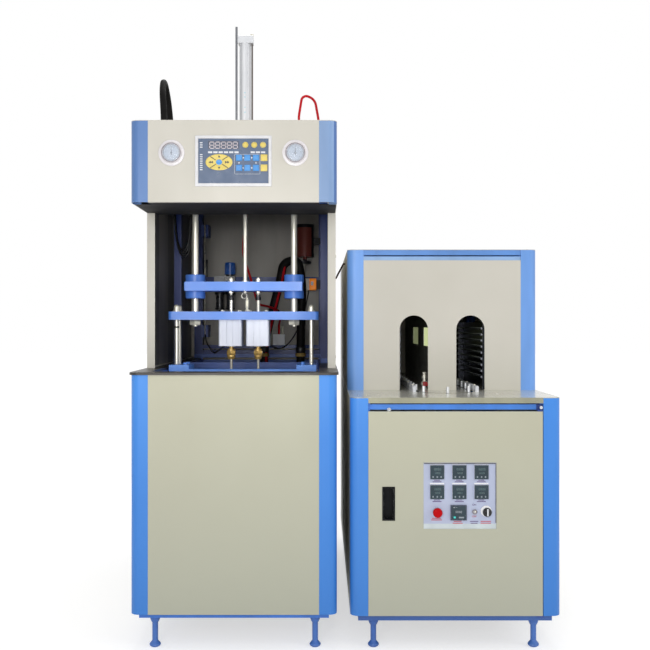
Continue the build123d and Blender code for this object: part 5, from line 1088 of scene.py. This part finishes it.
for across, up, width, height in ((-15, 18, 6, 3), (9, -15.5, 17, 5), (-7, 18, 4, 1.6)):
    spot = off(timer_at, across, 0.9, up)
    timer_print.append(slab("timer_print", spot, (width, 0.6, height), 0.2, 1))
fit(timer_print, key_print, "heater_door")
lit_key = slab("timer_key", off(timer_at, -13.5, 1, -15), (7.6, 1.6, 6.6), 0.8)
fit(hollow_out(lit_key, 1.6, 0.3), lit_cyan, "heater_door")

# Labels of the plate: short plain bars where each instrument is explained, ON and OFF at the
# toggle, white strips over the controllers that are painted highlights on their bezels, and a
# dark strip along the top and right edges of the door's window that is a painted shadow.
purple_ink = moulded("purple_ink", (96, 72, 128), (86, 62, 118), 0.5)
red_ink = moulded("red_ink", (198, 70, 88), (188, 60, 78), 0.5)
highlight_white = moulded("highlight_white", (252, 252, 252), (246, 246, 248), 0.5)
painted_shadow_grey = moulded("painted_shadow_grey", (96, 96, 104), (84, 84, 92), 0.5)
plate_y = front_y + 1.8 * mm


def printed(name, across, level, width, height):
    """A flat printed bar on the plate, its place in millimetres."""
    return slab(name, (heat_x + across * mm, plate_y, level * mm), (width, 0.6, height), 0.1, 1)


purple, white = [], []
for column in columns:
    for row in rows:
        purple.append(printed("purple_print", column, row - 27.6, 20, 2.2))
        purple.append(printed("purple_print", column, row - 33, 30, 2.6))
    # The white strips at the top of each controller are painted highlights on its bezel.
    white.append(printed("bezel_highlights", column, 566.8, 48, 4.6))
    white.append(printed("bezel_highlights", column, 632.4, 48, 2))
purple.append(printed("purple_print", 61.6, 439.8, 28, 2.4))
purple.append(printed("purple_print", 61.6, 433.4, 23, 2.4))
toggle_x = heat_x + 62.2 * mm
purple.append(lettering("purple_print", "ON", (toggle_x, plate_y, 0.4955), 6, 0.5))
fit(purple, purple_ink, "heater_door")
fit(white, highlight_white, "heater_door")
red = [
    printed("red_print", across, level, width, 2.6)
    for across, level, width in (
        (-65, 450, 30), (-65, 444.6, 36), (6, 439.8, 26), (6, 433.6, 34),
        (100.8, 439.8, 34), (100.8, 433.8, 35),
    )
]
red.append(lettering("red_print", "OFF", (toggle_x, plate_y, 0.4560), 6, 0.5))
fit(red, red_ink, "heater_door")
# Dark strips along the top and right edges of the window are a painted shadow.
shadow_y = front_y + 0.4 * mm
window_shadow = [
    slab("window_shadow_strip", (0.3880, shadow_y, 0.6345), (243, 2, 2.6), 0.4, 1),
    slab("window_shadow_strip", (0.5082, shadow_y, 0.5350), (2.4, 2, 200), 0.4, 1),
]
fit(window_shadow, painted_shadow_grey, "heater_door")

# Switches: a red mushroom, a chromed toggle with its hex nut, and a black selector with a
# white pointer, in a white ring set up and to the left that is a painted highlight on its collar.
red_plastic = moulded("red_plastic", (204, 8, 20), (190, 5, 14), 0.3)
tune(red_plastic, "Specular IOR Level", 0.1)
nut_grain = (20, 20, 20)
nut_grey = brushed("nut_nickel", (132, 122, 124), (112, 102, 104), nut_grain, 0.3, 0.02, metallic=0.5)
dress(red_plastic, "stop_button")
dress(chrome, "toggle_lever")
dress(black_plastic, "selector_knob")
button_low, button_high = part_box("stop_button")
button_z = (button_low.z + button_high.z) / 2
nut_at = (heat_x + 63.1 * mm, front_y - 0.6 * mm, button_z)
nut = hoop("toggle_nut", nut_at, 7.6, 1.9, 6, 10, 0.3)
fit(nut, nut_grey, "heater_door")
# The white ring beside the selector is a painted highlight.
glare_ring_at = (heat_x + 101.4 * mm, front_y - 0.4 * mm, button_z + 3 * mm)
ring = disc("selector_glare_ring", glare_ring_at, 18.6, 4, 1.2, "front", 48)
fit(hollow_out(ring, 2, 0.4), highlight_white, "heater_door")
knob_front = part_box("selector_knob")[0].y
pointer_at = (heat_x + 104.1 * mm, knob_front - 0.2 * mm, button_z + 1 * mm)
pointer = slab("selector_pointer", pointer_at, (5, 1.2, 24), 0.4, 1)
fit(pointer, print_white, "selector")

# The room is left out: one white floor under soft lamps, and a white background that the
# camera, glossy and clear surfaces see. Further out the floor turns to that white.
bpy.ops.object.select_all(action="DESELECT")
bpy.ops.mesh.primitive_plane_add(size=60, location=(0, 0, 0))
floor = bpy.context.active_object
floor.name = "floor"


def directly_seen(tree):
    """One for the rays that see the white room: camera, glossy and clear ones."""
    rays = node_of(tree, "LightPath").outputs
    seen = arithmetic(tree, "MAXIMUM", rays["Is Camera Ray"], rays["Is Glossy Ray"])
    return arithmetic(tree, "MAXIMUM", seen, rays["Is Transmission Ray"])


paper, tree, shader, place = open_finish("floor_paper")
shader.inputs["Roughness"].default_value = 0.9
shader.inputs["Specular IOR Level"].default_value = 0.1
fibres = between(tree, speckle(tree, place, 3), 0.3, 0.7)
shade = two_tone(tree, fibres, tone((247, 247, 247)), tone((244, 244, 244)))
tree.links.new(shade, shader.inputs["Base Color"])
distance = node_of(tree, "VectorMath", {0: place}, operation="LENGTH").outputs["Value"]
near_edge, far_edge = 1.4, 3.2
whiteness = between(tree, distance, near_edge, far_edge, 0.3, 1)
shine = between(tree, distance, near_edge, far_edge, 1.97, 1.06)
white = node_of(tree, "Emission", {"Strength": shine}).outputs[0]
share = arithmetic(tree, "MULTIPLY", directly_seen(tree), whiteness)
surface = node_of(tree, "MixShader", {0: share, 1: shader.outputs[0], 2: white}).outputs[0]
tree.links.new(surface, tree.nodes["Material Output"].inputs["Surface"])
floor.data.materials.append(paper)

world = bpy.data.worlds.new("studio")
bpy.context.scene.world = world
world.use_nodes = True
tree = world.node_tree
room_light = 0.50
background = tree.nodes["Background"].inputs
tree.links.new(between(tree, directly_seen(tree), 0, 1, room_light, 1), background["Strength"])
background["Color"].default_value = (1, 1, 1, 1)


def hang(lamp, place, target):
    """Hangs a lamp at its place and turns it to its target."""
    holder = bpy.data.objects.new(lamp.name, lamp)
    holder.location = place
    holder.rotation_euler = (Vector(target) - Vector(place)).to_track_quat("-Z", "Y").to_euler()
    bpy.context.collection.objects.link(holder)


for name, place, target, size, power in (
    ("front_lamp", (-1.6, -4.2, 3.2), (0, -0.4, 1), 2.6, 13),
    ("work_lamp", (-0.7, -4.4, 1.5), (-0.35, 0.3, 1.3), 1.4, 44),
    ("side_lamp", (3.6, -2.6, 2.6), (0, 0, 1), 2.2, 34),
    ("top_lamp", (0, 0.6, 4.6), (0, 0, 1), 2.4, 54),
):
    lamp = bpy.data.lights.new(name, "AREA")
    lamp.size = size
    lamp.energy = power
    hang(lamp, place, target)
beam = bpy.data.lights.new("work_beam", "SPOT")
beam.energy = 130
beam.spot_size = math.radians(11)
beam.spot_blend = 1
beam.shadow_soft_size = 0.25
hang(beam, (-0.13, -4.1, 1.17), (-0.35, 0.1, 1.29))

# Camera: level, at the height of the work space, in line with the gap between the cabinets.
# Its lens and small shift give the photograph's frame.
camera_data = bpy.data.cameras.new("camera")
camera_data.lens = 49.45
camera_data.shift_x = 0.0046
camera = bpy.data.objects.new("camera", camera_data)
camera.location = (-0.0764, -3.7875, 1.1)
camera.rotation_euler = (math.pi / 2, 0, 0)
bpy.context.collection.objects.link(camera)
bpy.context.scene.camera = camera
bpy.context.scene.view_settings.view_transform = "Standard"
